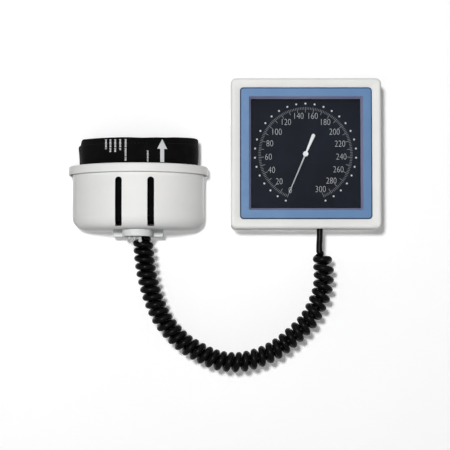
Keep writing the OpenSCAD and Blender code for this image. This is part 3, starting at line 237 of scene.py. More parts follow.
# %% Colour and node helpers
def linear(hex_colour):
    """The linear colour of an sRGB hex value such as #efeeec."""
    values = [int(hex_colour[i:i + 2], 16) / 255 for i in (1, 3, 5)]
    return [v / 12.92 if v <= 0.04045 else ((v + 0.055) / 1.055) ** 2.4 for v in values] + [1]


def add_node(tree, kind, settings=(), inputs=()):
    """Adds a node, sets its properties, and gives its inputs a value or a link."""
    node = tree.nodes.new(kind)
    for name, value in dict(settings).items():
        setattr(node, name, value)
    for name, value in dict(inputs).items():
        if isinstance(value, bpy.types.NodeSocket):
            tree.links.new(value, node.inputs[name])
        else:
            node.inputs[name].default_value = value
    return node


def new_finish(name, hex_colour, roughness, metallic=0.0, specular=0.5):
    """A material with a Principled shader. Returns it with its tree and shader."""
    material = bpy.data.materials.new(name)
    material.use_nodes = True
    material.diffuse_color = linear(hex_colour)
    tree = material.node_tree
    shader = tree.nodes["Principled BSDF"]
    shader.inputs["Base Color"].default_value = linear(hex_colour)
    shader.inputs["Roughness"].default_value = roughness
    shader.inputs["Metallic"].default_value = metallic
    shader.inputs["Specular IOR Level"].default_value = specular
    return material, tree, shader


def bare_material(name):
    """A material with nothing but its output. Returns it with its tree."""
    material = bpy.data.materials.new(name)
    material.use_nodes = True
    tree = material.node_tree
    tree.nodes.remove(tree.nodes["Principled BSDF"])
    return material, tree


def show(tree, shader, output="Material Output"):
    """Lets a shader be what the output shows."""
    tree.links.new(shader, tree.nodes[output].inputs["Surface"])


def maths(tree, operation, first, second, clamp=False):
    """The result of a sum of two numbers or sockets."""
    return add_node(tree, "ShaderNodeMath", {"operation": operation, "use_clamp": clamp}, {
        0: first, 1: second}).outputs["Value"]


def mixed(tree, share, first, second):
    """The first shader, with a share of the second."""
    return add_node(tree, "ShaderNodeMixShader", {}, {"Fac": share, 1: first, 2: second}).outputs["Shader"]


def speckle(tree, size_mm, detail=2.0, stretch=(1, 1, 1)):
    """A noise with spots of about size_mm, longer along the axes that stretch makes small."""
    where = add_node(tree, "ShaderNodeTexCoord").outputs["Object"]
    turned = add_node(tree, "ShaderNodeMapping", {}, {"Vector": where, "Scale": stretch}).outputs["Vector"]
    return add_node(tree, "ShaderNodeTexNoise", {}, {
        "Vector": turned, "Scale": 1 / (size_mm * MM), "Detail": detail}).outputs["Fac"]


def raise_by(tree, shader, height, depth_mm, strength=1.0):
    """Lets a pattern stand up by depth_mm in the shader's normal."""
    bump = add_node(tree, "ShaderNodeBump", {}, {
        "Height": height, "Distance": depth_mm * MM, "Strength": strength})
    tree.links.new(bump.outputs["Normal"], shader.inputs["Normal"])


def spread(tree, pattern, low, high, socket):
    """Lets a pattern run a socket between two numbers or two hex colours."""
    if isinstance(low, str):
        ramp = add_node(tree, "ShaderNodeValToRGB", {}, {"Fac": pattern})
        ramp.color_ramp.elements[0].position = 0.35
        ramp.color_ramp.elements[1].position = 0.65
        ramp.color_ramp.elements[0].color = linear(low)
        ramp.color_ramp.elements[1].color = linear(high)
        tree.links.new(ramp.outputs["Color"], socket)
    else:
        ranged = add_node(tree, "ShaderNodeMapRange", {}, {
            "Value": pattern, "From Min": 0.3, "From Max": 0.7, "To Min": low, "To Max": high})
        tree.links.new(ranged.outputs["Result"], socket)


print("white ABS is", [round(v, 3) for v in linear("#eceae8")[:3]])

# %% [markdown]
# ### Moulded plastics
# ABS comes out of a polished or lightly sparked mould: an even colour, a soft gloss and a faint orange
# peel a few millimetres wide that only shows where a lamp is mirrored.

# %% White, blue and holder ABS
def moulded(name, low, high, roughness, peel_mm=2.6, depth_mm=0.006):
    """Moulded plastic whose colour drifts between two near values."""
    material, tree, shader = new_finish(name, low, roughness, 0.0, 0.25)
    spread(tree, speckle(tree, 45), low, high, shader.inputs["Base Color"])
    spread(tree, speckle(tree, 9), roughness - 0.03, roughness + 0.05, shader.inputs["Roughness"])
    raise_by(tree, shader, speckle(tree, peel_mm, 3), depth_mm)
    return material


case_white = moulded("white_abs_case", "#e4e5e2", "#e9e9e6", 0.50)
basket_white = moulded("white_abs_basket", "#e6e7e5", "#eae9e7", 0.52)
# The holder is greyer than the basket: painted shade from the basket above it
holder_white_painted_shade = moulded("white_abs_holder_painted_shade", "#d6d9d7", "#dcdfdc", 0.50)
finger_nylon = moulded("natural_nylon_fingers", "#a3a5a2", "#afb1ad", 0.42)
trim_blue = moulded("blue_abs_frame", "#557ba6", "#5a80ab", 0.45)
# The bevel's violet is a painted reflection of the room on the polished bevel
trim_bevel_painted_reflection = moulded("blue_abs_bevel_painted_reflection", "#7c7e9f", "#8385a3", 0.35)
# The chamfer's dark blue is painted shade, the shade of the groove round the frame
trim_edge_painted_shade = moulded("blue_abs_edge_painted_shade", "#2d4365", "#344a6c", 0.6)

# %% [markdown]
# ### Window, dial and pointer
# The window is clear acrylic. A mix of a transparent and a mirror shader, weighed by Fresnel, keeps the
# dial readable and still mirrors the room a little, without the noise of true refraction. The dial is
# aluminium under matt black lacquer. Its scale is screen printed, so the print has its own thin body.

# %% Clear acrylic
def clear_window():
    """Clear sheet: see-through, with a faint mirror that grows towards the edge of sight."""
    material, tree = bare_material("clear_acrylic_window")
    # A coated sheet mirrors less than bare acrylic: next to nothing seen square on, more at a slant
    at_slant = add_node(tree, "ShaderNodeFresnel", {}, {"IOR": 1.14}).outputs["Fac"]
    mirror_share = maths(tree, "SUBTRACT", at_slant, 0.0045, clamp=True)
    clear = add_node(tree, "ShaderNodeBsdfTransparent", {}, {"Color": linear("#fbfcfc")}).outputs["BSDF"]
    mirror = add_node(tree, "ShaderNodeBsdfGlossy", {}, {"Roughness": 0.03}).outputs["BSDF"]
    show(tree, mixed(tree, mirror_share, clear, mirror))
    return material


window_clear = clear_window()

# %% Lacquer and print
def lacquered(name, low, high, roughness, spot_mm=3.5, specular=0.3):
    """Sprayed lacquer, which flows out almost flat."""
    material, tree, shader = new_finish(name, low, roughness, 0.0, specular)
    spread(tree, speckle(tree, 60), low, high, shader.inputs["Base Color"])
    raise_by(tree, shader, speckle(tree, spot_mm, 2), 0.0015)
    return material


dial_black = lacquered("matt_black_lacquer_dial", "#11141e", "#171b26", 0.62, specular=0.1)
print_white = lacquered("white_screen_print", "#d4d6d8", "#dcdedf", 0.5)
print_grey = lacquered("grey_screen_print", "#b0b2b5", "#bbbdbf", 0.5)
print_line = lacquered("grey_line_print", "#707277", "#797b80", 0.5)
pointer_white = lacquered("white_lacquer_pointer", "#eeeeee", "#f4f4f4", 0.4)
pointer_grey = lacquered("light_grey_lacquer_needle", "#bcbdbf", "#c6c7c8", 0.45)

# %% [markdown]
# ### Rubber, PVC and cloth
# The hose and the bulb are soft PVC: nearly black, with a dull shine that breaks where fingers have
# rubbed it. The cuff is woven nylon. Its threads are about 0.4 mm apart, too fine for the picture, so
# the weave is drawn at 1.1 mm. It follows the cloth's own map, so it bends with the roll.

# %% Hose, bulb and rubber
def soft_black(name, low, high, roughness, specular, spot_mm):
    """Soft black PVC or rubber with rubbed and dusty places."""
    material, tree, shader = new_finish(name, low, roughness, 0.0, specular)
    spread(tree, speckle(tree, 22, 4), low, high, shader.inputs["Base Color"])
    spread(tree, speckle(tree, 12, 4), roughness - 0.05, roughness + 0.12, shader.inputs["Roughness"])
    raise_by(tree, shader, speckle(tree, spot_mm, 3), 0.01)
    return material


hose_black = soft_black("black_pvc_hose", "#030303", "#060606", 0.27, 0.07, 1.5)
bulb_black = soft_black("black_pvc_bulb", "#0e0e0f", "#151516", 0.40, 0.35, 1.8)
rubber_black = soft_black("black_latex_rubber", "#131314", "#1a1a1b", 0.55, 0.3, 1.8)

# %% Woven nylon
WEAVE_MM = 1.1
CLOTH_MAP = "cloth"


def woven(name, low, high, depth_mm, sheen):
    """Plain weave: threads that cross over and under, drawn on the cloth's own map in millimetres."""
    material, tree, shader = new_finish(name, low, 0.85, 0.0, 0.05)
    cloth = add_node(tree, "ShaderNodeUVMap", {"uv_map": CLOTH_MAP}).outputs["UV"]
    # A wave's bands are 2 pi / 20 apart at a scale of 1, so this scale sets the thread spacing
    wave_scale = math.tau / 20 / WEAVE_MM
    threads = [add_node(tree, "ShaderNodeTexWave", {"bands_direction": direction}, {
        "Vector": cloth, "Scale": wave_scale, "Distortion": 0.35, "Detail": 1.0,
        "Detail Scale": 0.2}).outputs["Fac"] for direction in ("X", "Y")]
    spread(tree, speckle(tree, 16, 4), low, high, shader.inputs["Base Color"])
    raise_by(tree, shader, maths(tree, "MULTIPLY", *threads), depth_mm)
    shader.inputs["Sheen Weight"].default_value = sheen
    shader.inputs["Sheen Roughness"].default_value = 0.5
    return material


cuff_cloth = woven("black_woven_nylon_cuff", "#050505", "#0b0b0c", 0.12, 0.02)
binding_cloth = woven("black_nylon_tape", "#040404", "#080808", 0.18, 0.03)
hook_cloth = woven("black_hook_tape", "#0c0c0c", "#111111", 0.5, 0.02)
loop_cloth = woven("black_loop_tape", "#101011", "#18181a", 0.35, 0.25)
stitch_thread = soft_black("black_polyester_thread", "#121213", "#1b1b1c", 0.6, 0.2, 0.6)
cuff_print = lacquered("white_cuff_print", "#c4c6c7", "#d0d2d3", 0.6)

# %% [markdown]
# ### Metals
# Screws and sheet metal are zinc plated: a soft grey mirror with cloudy crystals. Fittings are nickel
# over turned brass. The movement is plain brass, and the capsule is rolled bronze. Polished metal is
# told apart by how tight its mirror is, so each has its own roughness and its own fine streaks.

# %% Metal finishes
def metal(name, hex_colour, roughness, cloud_mm, spread_by, stretch=(1, 1, 1), depth_mm=0.004):
    """Bare or plated metal with clouds or streaks in its gloss."""
    material, tree, shader = new_finish(name, hex_colour, roughness, 1.0)
    clouds = speckle(tree, cloud_mm, 4, stretch)
    spread(tree, clouds, roughness - spread_by, roughness + spread_by, shader.inputs["Roughness"])
    raise_by(tree, shader, clouds, depth_mm)
    return material


nickel = metal("nickel_plated_brass", "#c3c1bb", 0.20, 6, 0.05)
zinc = metal("zinc_plated_steel", "#a9adb2", 0.36, 5, 0.10)
bright_steel = metal("bright_turned_steel", "#b4b7bb", 0.24, 2, 0.06, (1, 6, 1))
brass = metal("machined_brass", "#c2a05a", 0.30, 1.5, 0.07, (1, 1, 8))
capsule_bronze = metal("rolled_bronze_capsule", "#b58a55", 0.34, 4, 0.06)
spring_bronze = metal("spring_bronze", "#ae7f45", 0.28, 2, 0.04)

# %% Silicone of the inner tube
silicone, silicone_tree, silicone_shader = new_finish("clear_silicone_tube", "#d6d5cf", 0.42)
silicone_shader.inputs["Subsurface Weight"].default_value = 0.4
silicone_shader.inputs["Subsurface Radius"].default_value = (0.003, 0.003, 0.003)
spread(silicone_tree, speckle(silicone_tree, 8), "#cfcec8", "#dad9d3",
       silicone_shader.inputs["Base Color"])

# %% The CAD nodes that stay get their finish
def dress(mesh, material):
    """Gives a mesh one finish and no other."""
    mesh.materials.clear()
    mesh.materials.append(material)


KEPT_NODES = [
    (window_clear, ["lens"]),
    (dial_black, ["dial_plate"]),
    (case_white, ["rear_cover"]),
    (silicone, ["inner_tube"]),
    (spring_bronze, ["hairspring"]),
    (capsule_bronze, ["capsule_front", "capsule_rear"]),
    (bright_steel, ["pointer_arbor", "sector_arbor", "rocking_shaft", "push_pin", "movement_screws"]),
    (brass, ["sector_gear", "front_plate", "rear_plate", "pillars", "plate_spacers", "capsule_stud",
             "capsule_nut"]),
    (zinc, ["chassis_plate", "chassis_screws", "wall_bracket", "hanging_studs", "holder_screws"]),
    (nickel, ["hose_inlet", "hose_connector", "inlet_valve", "valve_body", "release_knob"]),
]
for material, node_names in KEPT_NODES:
    for node_name in node_names:
        dress(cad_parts[node_name].data, material)
dress(hose_mesh, hose_black)
print("finished CAD nodes", sum(len(node_names) for material, node_names in KEPT_NODES))

# %% [markdown]
# ## Making pieces
# Three helpers carry most of the modelling. The first turns a bmesh into a finished piece on its CAD
# body. The second stacks rings of points into a wall, extruding one ring from the next. The third cuts
# closed shapes out of a piece with a Boolean, as a drill or a mould core would, or joins them to it.

# %% Finish a piece
def as_mesh(bm, name):
    """The bmesh as a new mesh. The bmesh is freed."""
    mesh = bpy.data.meshes.new(name)
    bm.to_mesh(mesh)
    bm.free()
    return mesh


def finish_piece(name, bm, body, materials, replaced=(), sharp_deg=35, flat=False):
    """Makes an object of a bmesh, smooth up to an angle, and seats it on its body.

    On a flat moulding the large faces keep their own normal, and only the rounded edges turn."""
    bmesh.ops.recalc_face_normals(bm, faces=bm.faces[:])
    mesh = as_mesh(bm, name)
    mesh.shade_smooth()
    mesh.set_sharp_from_angle(angle=math.radians(sharp_deg))
    for material in materials:
        mesh.materials.append(material)
    piece = put_in_scene(name, mesh)
    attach(piece, body)
    if replaced:
        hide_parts(*replaced)
    if flat:
        weigh = piece.modifiers.new("flat_faces", "WEIGHTED_NORMAL")
        weigh.keep_sharp = True
    print(name, len(mesh.polygons), "faces")
    return piece


# %% Stack rings into a wall
def ring_edges(bm, ring):
    """The edges between neighbours of a closed ring of vertices."""
    return [bm.edges.get((a, b)) for a, b in zip(ring, ring[1:] + ring[:1])]


def next_ring(bm, ring, points):
    """Extrudes a closed ring and moves the new vertices to their points."""
    made = bmesh.ops.extrude_edge_only(bm, edges=ring_edges(bm, ring))["geom"]
    new = {v for v in made if isinstance(v, bmesh.types.BMVert)}
    grown = []
    for old, point in zip(ring, points):
        vertex = next(e.other_vert(old) for e in old.link_edges if e.other_vert(old) in new)
        vertex.co = point
        grown.append(vertex)
    return grown


def stack_rings(rings, ends="capped"):
    """A wall through rings of points. Its ends are capped, or joined to each other."""
    bm = bmesh.new()
    circle = bmesh.ops.create_circle(bm, segments=len(rings[0]), radius=1)["verts"]
    for vertex, point in zip(circle, rings[0]):
        vertex.co = point
    first = ring = circle
    for points in rings[1:]:
        ring = next_ring(bm, ring, points)
    if ends == "joined":
        ring = next_ring(bm, ring, rings[0])
        bmesh.ops.remove_doubles(bm, verts=first + ring, dist=0.001 * MM)
    elif ends == "capped":
        bmesh.ops.holes_fill(bm, edges=ring_edges(bm, first) + ring_edges(bm, ring), sides=0)
    return bm


# %% Cut closed shapes out of a piece, or join them to it
def combined(operation, bm, *others):
    """The bmesh after a Boolean with each of the other closed shapes in turn."""
    for other in others:
        pair = []
        for label, source in (("first", bm), ("second", other)):
            bmesh.ops.recalc_face_normals(source, faces=source.faces[:])
            pair.append(put_in_scene(label, as_mesh(source, label)))
        boolean = pair[0].modifiers.new("combine", "BOOLEAN")
        boolean.operation = operation
        boolean.solver = "EXACT"
        boolean.object = pair[1]
        bm = bmesh.new()
        bm.from_mesh(evaluated(pair[0]).to_mesh())
        for used in pair:
            bpy.data.meshes.remove(used.data)
    return bm


# %% Turned parts and rods
def turned(profile, middle, direction=(0, 0, 1), steps=32, bm=None):
    """Spins a profile of (radius, height) pairs in millimetres about a line through middle."""
    bm = bm or bmesh.new()
    older = set(bm.verts)
    turn = Vector((0, 0, 1)).rotation_difference(Vector(direction)).to_matrix().to_4x4()
    points = [bm.verts.new((r * MM, 0, h * MM)) for r, h in profile]
    edges = [bm.edges.new(pair) for pair in zip(points, points[1:])]
    bmesh.ops.spin(bm, geom=points + edges, cent=(0, 0, 0), axis=(0, 0, 1), angle=math.tau, steps=steps,
                   use_merge=True)
    spun = [v for v in bm.verts if v not in older]
    bmesh.ops.transform(bm, matrix=Matrix.Translation(middle) @ turn, verts=spun)
    bmesh.ops.remove_doubles(bm, verts=spun, dist=0.01 * MM)
    return bm


def drill(radius, middle, direction, length):
    """A closed cylinder for cutting a hole, centred on middle."""
    half = length / 2
    return turned([(0, -half), (radius, -half), (radius, half), (0, half)], middle, direction)

# %% [markdown]
# ## The gauge's case
# The case is one white moulding: four walls, a rounded front edge, a border that falls gently towards
# the blue frame, and inside it a shelf, a well for the window and a ledge. All of its cross-sections are
# squares with round corners, so the piece is a stack of such rings, joined at the end to its start.

# %% Rounded squares
CORNER_STEPS = 7


def rounded_square(half, radius, d):
    """The points of a square with round corners, seen from the front, at one depth."""
    points = []
    for quarter in range(4):
        middle = math.radians(90 * quarter + 45)
        cx = math.copysign(half - radius, math.cos(middle))
        cz = math.copysign(half - radius, math.sin(middle))
        for k in range(CORNER_STEPS + 1):
            angle = math.radians(90 * quarter + 90 * k / CORNER_STEPS)
            points.append(place(cx + radius * math.cos(angle), d, cz + radius * math.sin(angle)))
    return points


def quarter_round(half, d, radius, corner, steps=5):
    """Sections along a rounded edge, from a side wall at half to the face at depth d."""
    sections = []
    for k in range(steps + 1):
        angle = math.radians(90 * k / steps)
        step_in = radius * (1 - math.cos(angle))
        sections.append((half - step_in, corner - step_in, d - radius * (1 - math.sin(angle))))
    return sections


# %% The case's sections
case_box = node_box("gauge_case")
trim_box = node_box("trim_frame")
lens_box = node_box("lens")
dial_box = node_box("dial_plate")
CASE_HALF = case_box["x"][1]
CASE_FRONT = case_box["d"][1]
CASE_REAR = case_box["d"][0]
TRIM_HALF = trim_box["x"][1]
TRIM_FACE = trim_box["d"][1]
CASE_WALL = 3
SHELF_D = TRIM_FACE - 3
GROOVE_HALF = TRIM_HALF + 0.25
WELL_HALF = lens_box["x"][1] + 0.25
LEDGE_HALF = 80.4
SHARP = 0.6
DIAL_D = dial_box["d"][1]
BORDER_DIP = 2.0
LEDGE_T = 2
INLET_HOLE_R = 6.05
border_d = CASE_FRONT - BORDER_DIP
lens_back = lens_box["d"][0]
inner_half = CASE_HALF - CASE_WALL
shelf_back = SHELF_D - CASE_WALL
case_sections = [
    (inner_half, 5, shelf_back), (inner_half, 5, CASE_REAR + 0.4), (inner_half + 0.4, 5.4, CASE_REAR),
    (CASE_HALF - 0.4, 7.6, CASE_REAR), (CASE_HALF, 8, CASE_REAR + 0.4),
]
case_sections += quarter_round(CASE_HALF, CASE_FRONT, 4, 8)
case_sections += [
    (CASE_HALF - 5.6, 4.1, CASE_FRONT - 0.05), (CASE_HALF - 8.5, 4.4, CASE_FRONT - 0.32 * BORDER_DIP),
    (CASE_HALF - 11.2, 4.9, CASE_FRONT - 0.72 * BORDER_DIP), (GROOVE_HALF + 0.5, 5.6, border_d),
    (GROOVE_HALF + 0.1, 5.3, border_d - 0.15), (GROOVE_HALF, 5.25, border_d - 0.5),
    (GROOVE_HALF, 5.25, SHELF_D), (WELL_HALF, SHARP, SHELF_D), (WELL_HALF, SHARP, lens_back),
    (LEDGE_HALF, SHARP, lens_back), (LEDGE_HALF, SHARP, lens_back - LEDGE_T),
    (WELL_HALF, SHARP, lens_back - LEDGE_T), (WELL_HALF, SHARP, DIAL_D),
    (WELL_HALF + 2.5, SHARP, DIAL_D), (WELL_HALF + 2.5, SHARP, shelf_back),
]
inlet_x = sum(node_box("hose_inlet")["x"]) / 2
inlet_hole = drill(INLET_HOLE_R, place(inlet_x, HOSE_D, -CASE_HALF), (0, 0, 1), 12)
case_bm = stack_rings([rounded_square(*s) for s in case_sections], ends="joined")
case_bm = combined("DIFFERENCE", case_bm, inlet_hole)
finish_piece("gauge_case_shell", case_bm, "wall_unit", [case_white], ["gauge_case"], 40,
             flat=True)

# %% [markdown]
# ## The blue frame
# The frame drops into the case and holds the window down. Its flat band stands a little proud of the
# border, and its chamfered edge reads as a dark line all round: its dark blue is painted shade. Inside, a
# steep bevel leads the eye down to the dial. The bevel is polished in the mould, and its violet colour is a
# painted reflection of the room. Both have their own finish.

# %% Trim frame
OPENING_HALF = 79.4
BAND_IN_HALF = TRIM_HALF - 13
trim_sections = [
    (TRIM_HALF, 5, SHELF_D + 0.02), (TRIM_HALF, 5, SHELF_D + 0.6), (TRIM_HALF - 1.35, 3.9, TRIM_FACE - 0.5),
    (TRIM_HALF - 1.6, 3.7, TRIM_FACE - 0.15), (TRIM_HALF - 2.1, 3.4, TRIM_FACE),
    (BAND_IN_HALF + 0.2, 0.7, TRIM_FACE), (BAND_IN_HALF, 0.6, TRIM_FACE - 0.1),
    (BAND_IN_HALF - 0.15, 0.6, TRIM_FACE - 0.9), (BAND_IN_HALF - 0.5, 0.6, TRIM_FACE - 1.2),
    (OPENING_HALF + 0.1, 0.6, trim_box["d"][0] + 0.4), (OPENING_HALF, 0.6, trim_box["d"][0] + 0.02),
    (WELL_HALF - 0.25, SHARP, trim_box["d"][0] + 0.02), (WELL_HALF - 0.25, SHARP, SHELF_D + 0.02),
]
trim_bm = stack_rings([rounded_square(*s) for s in trim_sections], ends="joined")
for face in trim_bm.faces:
    middle = face.calc_center_median() / MM
    reach = max(abs(middle.x), abs(middle.z))
    # Faces of the bevel get the violet of painted reflection
    if OPENING_HALF < reach < BAND_IN_HALF - 0.2 and -middle.y < TRIM_FACE - 1:
        face.material_index = 1
    # Faces of the chamfer get the dark blue of painted shade
    elif reach > BAND_IN_HALF + 3 and -middle.y < TRIM_FACE - 0.1:
        face.material_index = 2
finish_piece("trim_frame_moulding", trim_bm, "wall_unit", [trim_blue, trim_bevel_painted_reflection, trim_edge_painted_shade],
             ["trim_frame"], 30, flat=True)

# %% [markdown]
# ## The dial's print
# The scale runs from 0 to 300 over 314 degrees: a line every 2 units, a longer one every 10, a white dot
# outside each long one, and plain numbers every 20. Each kind of print is one thin piece that lies on
# the plate. A number starts as a text object, becomes a mesh, and only then gets its place.

# %% Dots and lines of the scale
SCALE_TOP = 300
SCALE_SWEEP = 314
INK_T = 0.05
DOT_R = 1.3
DOT_RING_R = 73.8
LINE_OUT_R = 68.6
# The width and the inner radius of a line every 10 units, and of one between
LONG_LINE = (0.85, 60.8)
SHORT_LINE = (0.7, 64.9)
INK_D = DIAL_D + 0.03


def dial_turn(value):
    """The rotation from straight up to a scale value, clockwise as the reader sees it."""
    return Matrix.Rotation(math.radians((value / SCALE_TOP - 0.5) * SCALE_SWEEP), 4, "Y")


def printed_box(bm, width, r_in, r_out, value):
    """A thin printed bar between two radii, at a scale value."""
    size = Matrix.Diagonal((width * MM, INK_T * MM, (r_out - r_in) * MM, 1))
    seat = Matrix.Translation(place(0, INK_D, (r_in + r_out) / 2))
    bmesh.ops.create_cube(bm, size=1, matrix=dial_turn(value) @ seat @ size)


dots_bm = bmesh.new()
for value in range(0, SCALE_TOP + 1, 10):
    seat = Matrix.Translation(place(0, INK_D, DOT_RING_R)) @ Matrix.Rotation(math.radians(90), 4, "X")
    bmesh.ops.create_cone(dots_bm, cap_ends=True, segments=20, radius1=DOT_R * MM, radius2=DOT_R * MM,
                          depth=INK_T * MM, matrix=dial_turn(value) @ seat)
finish_piece("dial_dots", dots_bm, "wall_unit", [print_white])

lines_bm = bmesh.new()
for value in range(0, SCALE_TOP + 1, 2):
    width, r_in = SHORT_LINE if value % 10 else LONG_LINE
    printed_box(lines_bm, width, r_in, LINE_OUT_R, value)
finish_piece("dial_lines", lines_bm, "wall_unit", [print_line])

# %% Numbers of the scale
NUMBER_H = 8.9
NUMBER_NARROW = 0.8
NUMBER_THIN = 0.02
TEXT_EXTRUDE = 0.01
# At the sides of the dial a wide number stands further in than this radius
NUMBER_R = 57.8


def number_mesh(text):
    """A number as a bmesh, centred, upright in the plane of the dial, in metres."""
    curve = bpy.data.curves.new("number", "FONT")
    curve.body = text
    curve.size = 1
    curve.align_x = "CENTER"
    curve.extrude = TEXT_EXTRUDE
    curve.offset = -NUMBER_THIN
    curve.resolution_u = 3
    holder = put_in_scene("number", curve)
    bm = bmesh.new()
    bm.from_mesh(evaluated(holder).to_mesh())
    bpy.data.objects.remove(holder)
    heights = [v.co.y for v in bm.verts]
    tall = max(heights) - min(heights)
    bmesh.ops.translate(bm, vec=(0, -(max(heights) + min(heights)) / 2, 0), verts=bm.verts[:])
    size = NUMBER_H * MM / tall
    thick = INK_T * MM / (2 * TEXT_EXTRUDE)
    bmesh.ops.scale(bm, vec=(size * NUMBER_NARROW, size, thick), verts=bm.verts[:])
    bmesh.ops.rotate(bm, cent=(0, 0, 0), matrix=Matrix.Rotation(math.radians(90), 3, "X"), verts=bm.verts[:])
    return bm


numbers_bm = bmesh.new()
for value in range(0, SCALE_TOP + 1, 20):
    one = number_mesh(str(value))
    half_w = max(v.co.x for v in one.verts) / MM
    outward = dial_turn(value) @ place(0, 0, 1) / MM
    middle = outward * (NUMBER_R - 0.75 * half_w * abs(outward.x)) * MM + place(0, INK_D, 0)
    bmesh.ops.translate(one, vec=middle, verts=one.verts[:])
    loose = as_mesh(one, "loose_number")
    numbers_bm.from_mesh(loose)
    bpy.data.meshes.remove(loose)
finish_piece("dial_numbers", numbers_bm, "wall_unit", [print_grey])

# %% [markdown]
# ## The pointer
# It is stamped from thin sheet: a wide white tail that balances it, and a thin grey needle that narrows
# to its tip. Its outline is symmetrical, so one function gives half its width at each distance from the
# axis. The outline is drawn pointing up, filled, extruded and bevelled, then turned to 0.

# %% Pointer blade
NEEDLE_REACH = 60
TAIL_L = 31.5
TAIL_HALF = 2.55
NEEDLE_HALF = 1.15
TIP_HALF = 0.55


def blade_half_width(r):
    """Half the blade's width at r along it: the tail is at negative r."""
    round_start = TAIL_HALF - TAIL_L
    if r < round_start:
        return math.sqrt(max(TAIL_HALF**2 - (r - round_start) ** 2, 0))
    if r < 0:
        return NEEDLE_HALF + (TAIL_HALF - NEEDLE_HALF) * r / round_start
    return NEEDLE_HALF + (TIP_HALF - NEEDLE_HALF) * r / NEEDLE_REACH


tail_round = [TAIL_HALF - TAIL_L - TAIL_HALF * math.cos(math.radians(a)) for a in range(0, 90, 15)]
stations = tail_round + [TAIL_HALF - TAIL_L, 0, NEEDLE_REACH - TIP_HALF, NEEDLE_REACH]
BLADE_BACK = 48.6
BLADE_FRONT = 49.4
blade_bm = bmesh.new()
right = [blade_bm.verts.new(place(blade_half_width(r), BLADE_BACK, r)) for r in stations[1:]]
left = [blade_bm.verts.new(place(-blade_half_width(r), BLADE_BACK, r)) for r in reversed(stations[1:])]
tip = blade_bm.verts.new(place(0, BLADE_BACK, -TAIL_L))
outline = right + left + [tip]
flat = bmesh.ops.contextual_create(blade_bm, geom=outline)["faces"]
grown = bmesh.ops.extrude_face_region(blade_bm, geom=flat)["geom"]
front = [g for g in grown if isinstance(g, bmesh.types.BMVert)]
bmesh.ops.translate(blade_bm, vec=place(0, BLADE_FRONT - BLADE_BACK, 0), verts=front)
front_edges = [e for e in blade_bm.edges if all(v in front for v in e.verts)]
bmesh.ops.bevel(blade_bm, geom=front_edges, offset=0.22 * MM, segments=2, profile=0.5,
                affect="EDGES", material=-1, clamp_overlap=True)
# The white paint ends and the grey begins here, hidden under the hub
PAINT_SPLIT = 3
bmesh.ops.bisect_plane(blade_bm, geom=blade_bm.verts[:] + blade_bm.edges[:] + blade_bm.faces[:],
                       plane_co=place(0, 0, PAINT_SPLIT), plane_no=(0, 0, 1))
for face in blade_bm.faces:
    face.material_index = int(face.calc_center_median().z > PAINT_SPLIT * MM)
bmesh.ops.transform(blade_bm, matrix=dial_turn(0), verts=blade_bm.verts[:])
finish_piece("pointer_blade", blade_bm, "pointer_group", [pointer_white, pointer_grey],
             ["pointer"])

# %% Pointer hub
HUB_R = 3.9
hub_bm = turned([(0.62, 47.6), (2.2, 47.6), (2.2, 48.6), (HUB_R - 0.3, 48.6), (HUB_R, 48.9), (HUB_R, 50.0),
                 (HUB_R - 0.4, 50.4), (1.4, 50.4), (1.2, 50.15), (0, 50.15)], (0, 0, 0), (0, -1, 0), 40)
pointer_hub = finish_piece("pointer_hub", hub_bm, "pointer_group", [pointer_white])
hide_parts("pointer")

# %% [markdown]
# ## The basket
# In plan the basket is a D: a wide front curve runs into two tighter side curves, which meet the wall
# square on. Every ring of its outside and inside is this same D, moved in or out, so the moulding is a
# stack of D rings. A second stack is the rolled rim. The cavity, the two slots and the holes are cut.

# %% The D-shaped plan
basket_box = node_box("basket_shell")
BASKET_X = sum(basket_box["x"]) / 2
BASKET_TOP = basket_box["z"][1]
BASKET_W = basket_box["x"][1] - basket_box["x"][0]
BASKET_DEPTH = basket_box["d"][1]
BASKET_H = basket_box["z"][1] - basket_box["z"][0]
CURVE = 57
# The front arc meets each side arc on a line that leans like a 3-4-5 triangle
LEAN_X = 0.8
LEAN_D = 0.6
LEAN = math.degrees(math.atan2(LEAN_X, LEAN_D))
side_r = BASKET_W / 2 - LEAN_X * CURVE
front_r = side_r + CURVE
front_c = BASKET_DEPTH - front_r
side_cx = LEAN_X * CURVE
side_cd = front_c + LEAN_D * CURVE
FRONT_STEPS = 30
SIDE_STEPS = 14


def d_ring(out_by, z, back=0.0):
    """The basket's plan moved out by so much, at height z, closed by a straight line at depth back."""
    plan = [(side_cx + side_r + out_by, back)]
    for k in range(SIDE_STEPS):
        angle = math.radians(90 - (90 - LEAN) * k / SIDE_STEPS)
        plan.append((side_cx + (side_r + out_by) * math.sin(angle),
                     side_cd + (side_r + out_by) * math.cos(angle)))
    for k in range(FRONT_STEPS + 1):
        angle = math.radians(LEAN - 2 * LEAN * k / FRONT_STEPS)
        plan.append(((front_r + out_by) * math.sin(angle), front_c + (front_r + out_by) * math.cos(angle)))
    mirrored = [(-x, d) for x, d in reversed(plan[:SIDE_STEPS + 1])]
    return [place(BASKET_X + x, d, BASKET_TOP + z) for x, d in plan + mirrored]


def arc(radius, start_deg, end_deg, steps=6):
    """Steps along an arc, as pairs across and up."""
    angles = [math.radians(start_deg + (end_deg - start_deg) * k / steps) for k in range(steps + 1)]
    return [(radius * math.cos(a), radius * math.sin(a)) for a in angles]


# %% Body, rim and cuts
RIM_OUT = 6
RIM_H = 12.4
RIM_T = 2.5
WALL = 3
FLOOR_R = 18
RIM_R = 2.4
SKIRT_BACK = 2
HOSE_HOLE_R = HOSE_DIA / 2 + 0.3
WALL_HOLE_R = 2.75
WALL_HOLE_X = 55
WALL_HOLE_DOWN = 45
body_rings = [d_ring(-RIM_OUT - FLOOR_R + x, -BASKET_H + FLOOR_R + z) for x, z in arc(FLOOR_R, -90, 0, 9)]
body_rings.append(d_ring(-RIM_OUT, -RIM_T + 0.6))

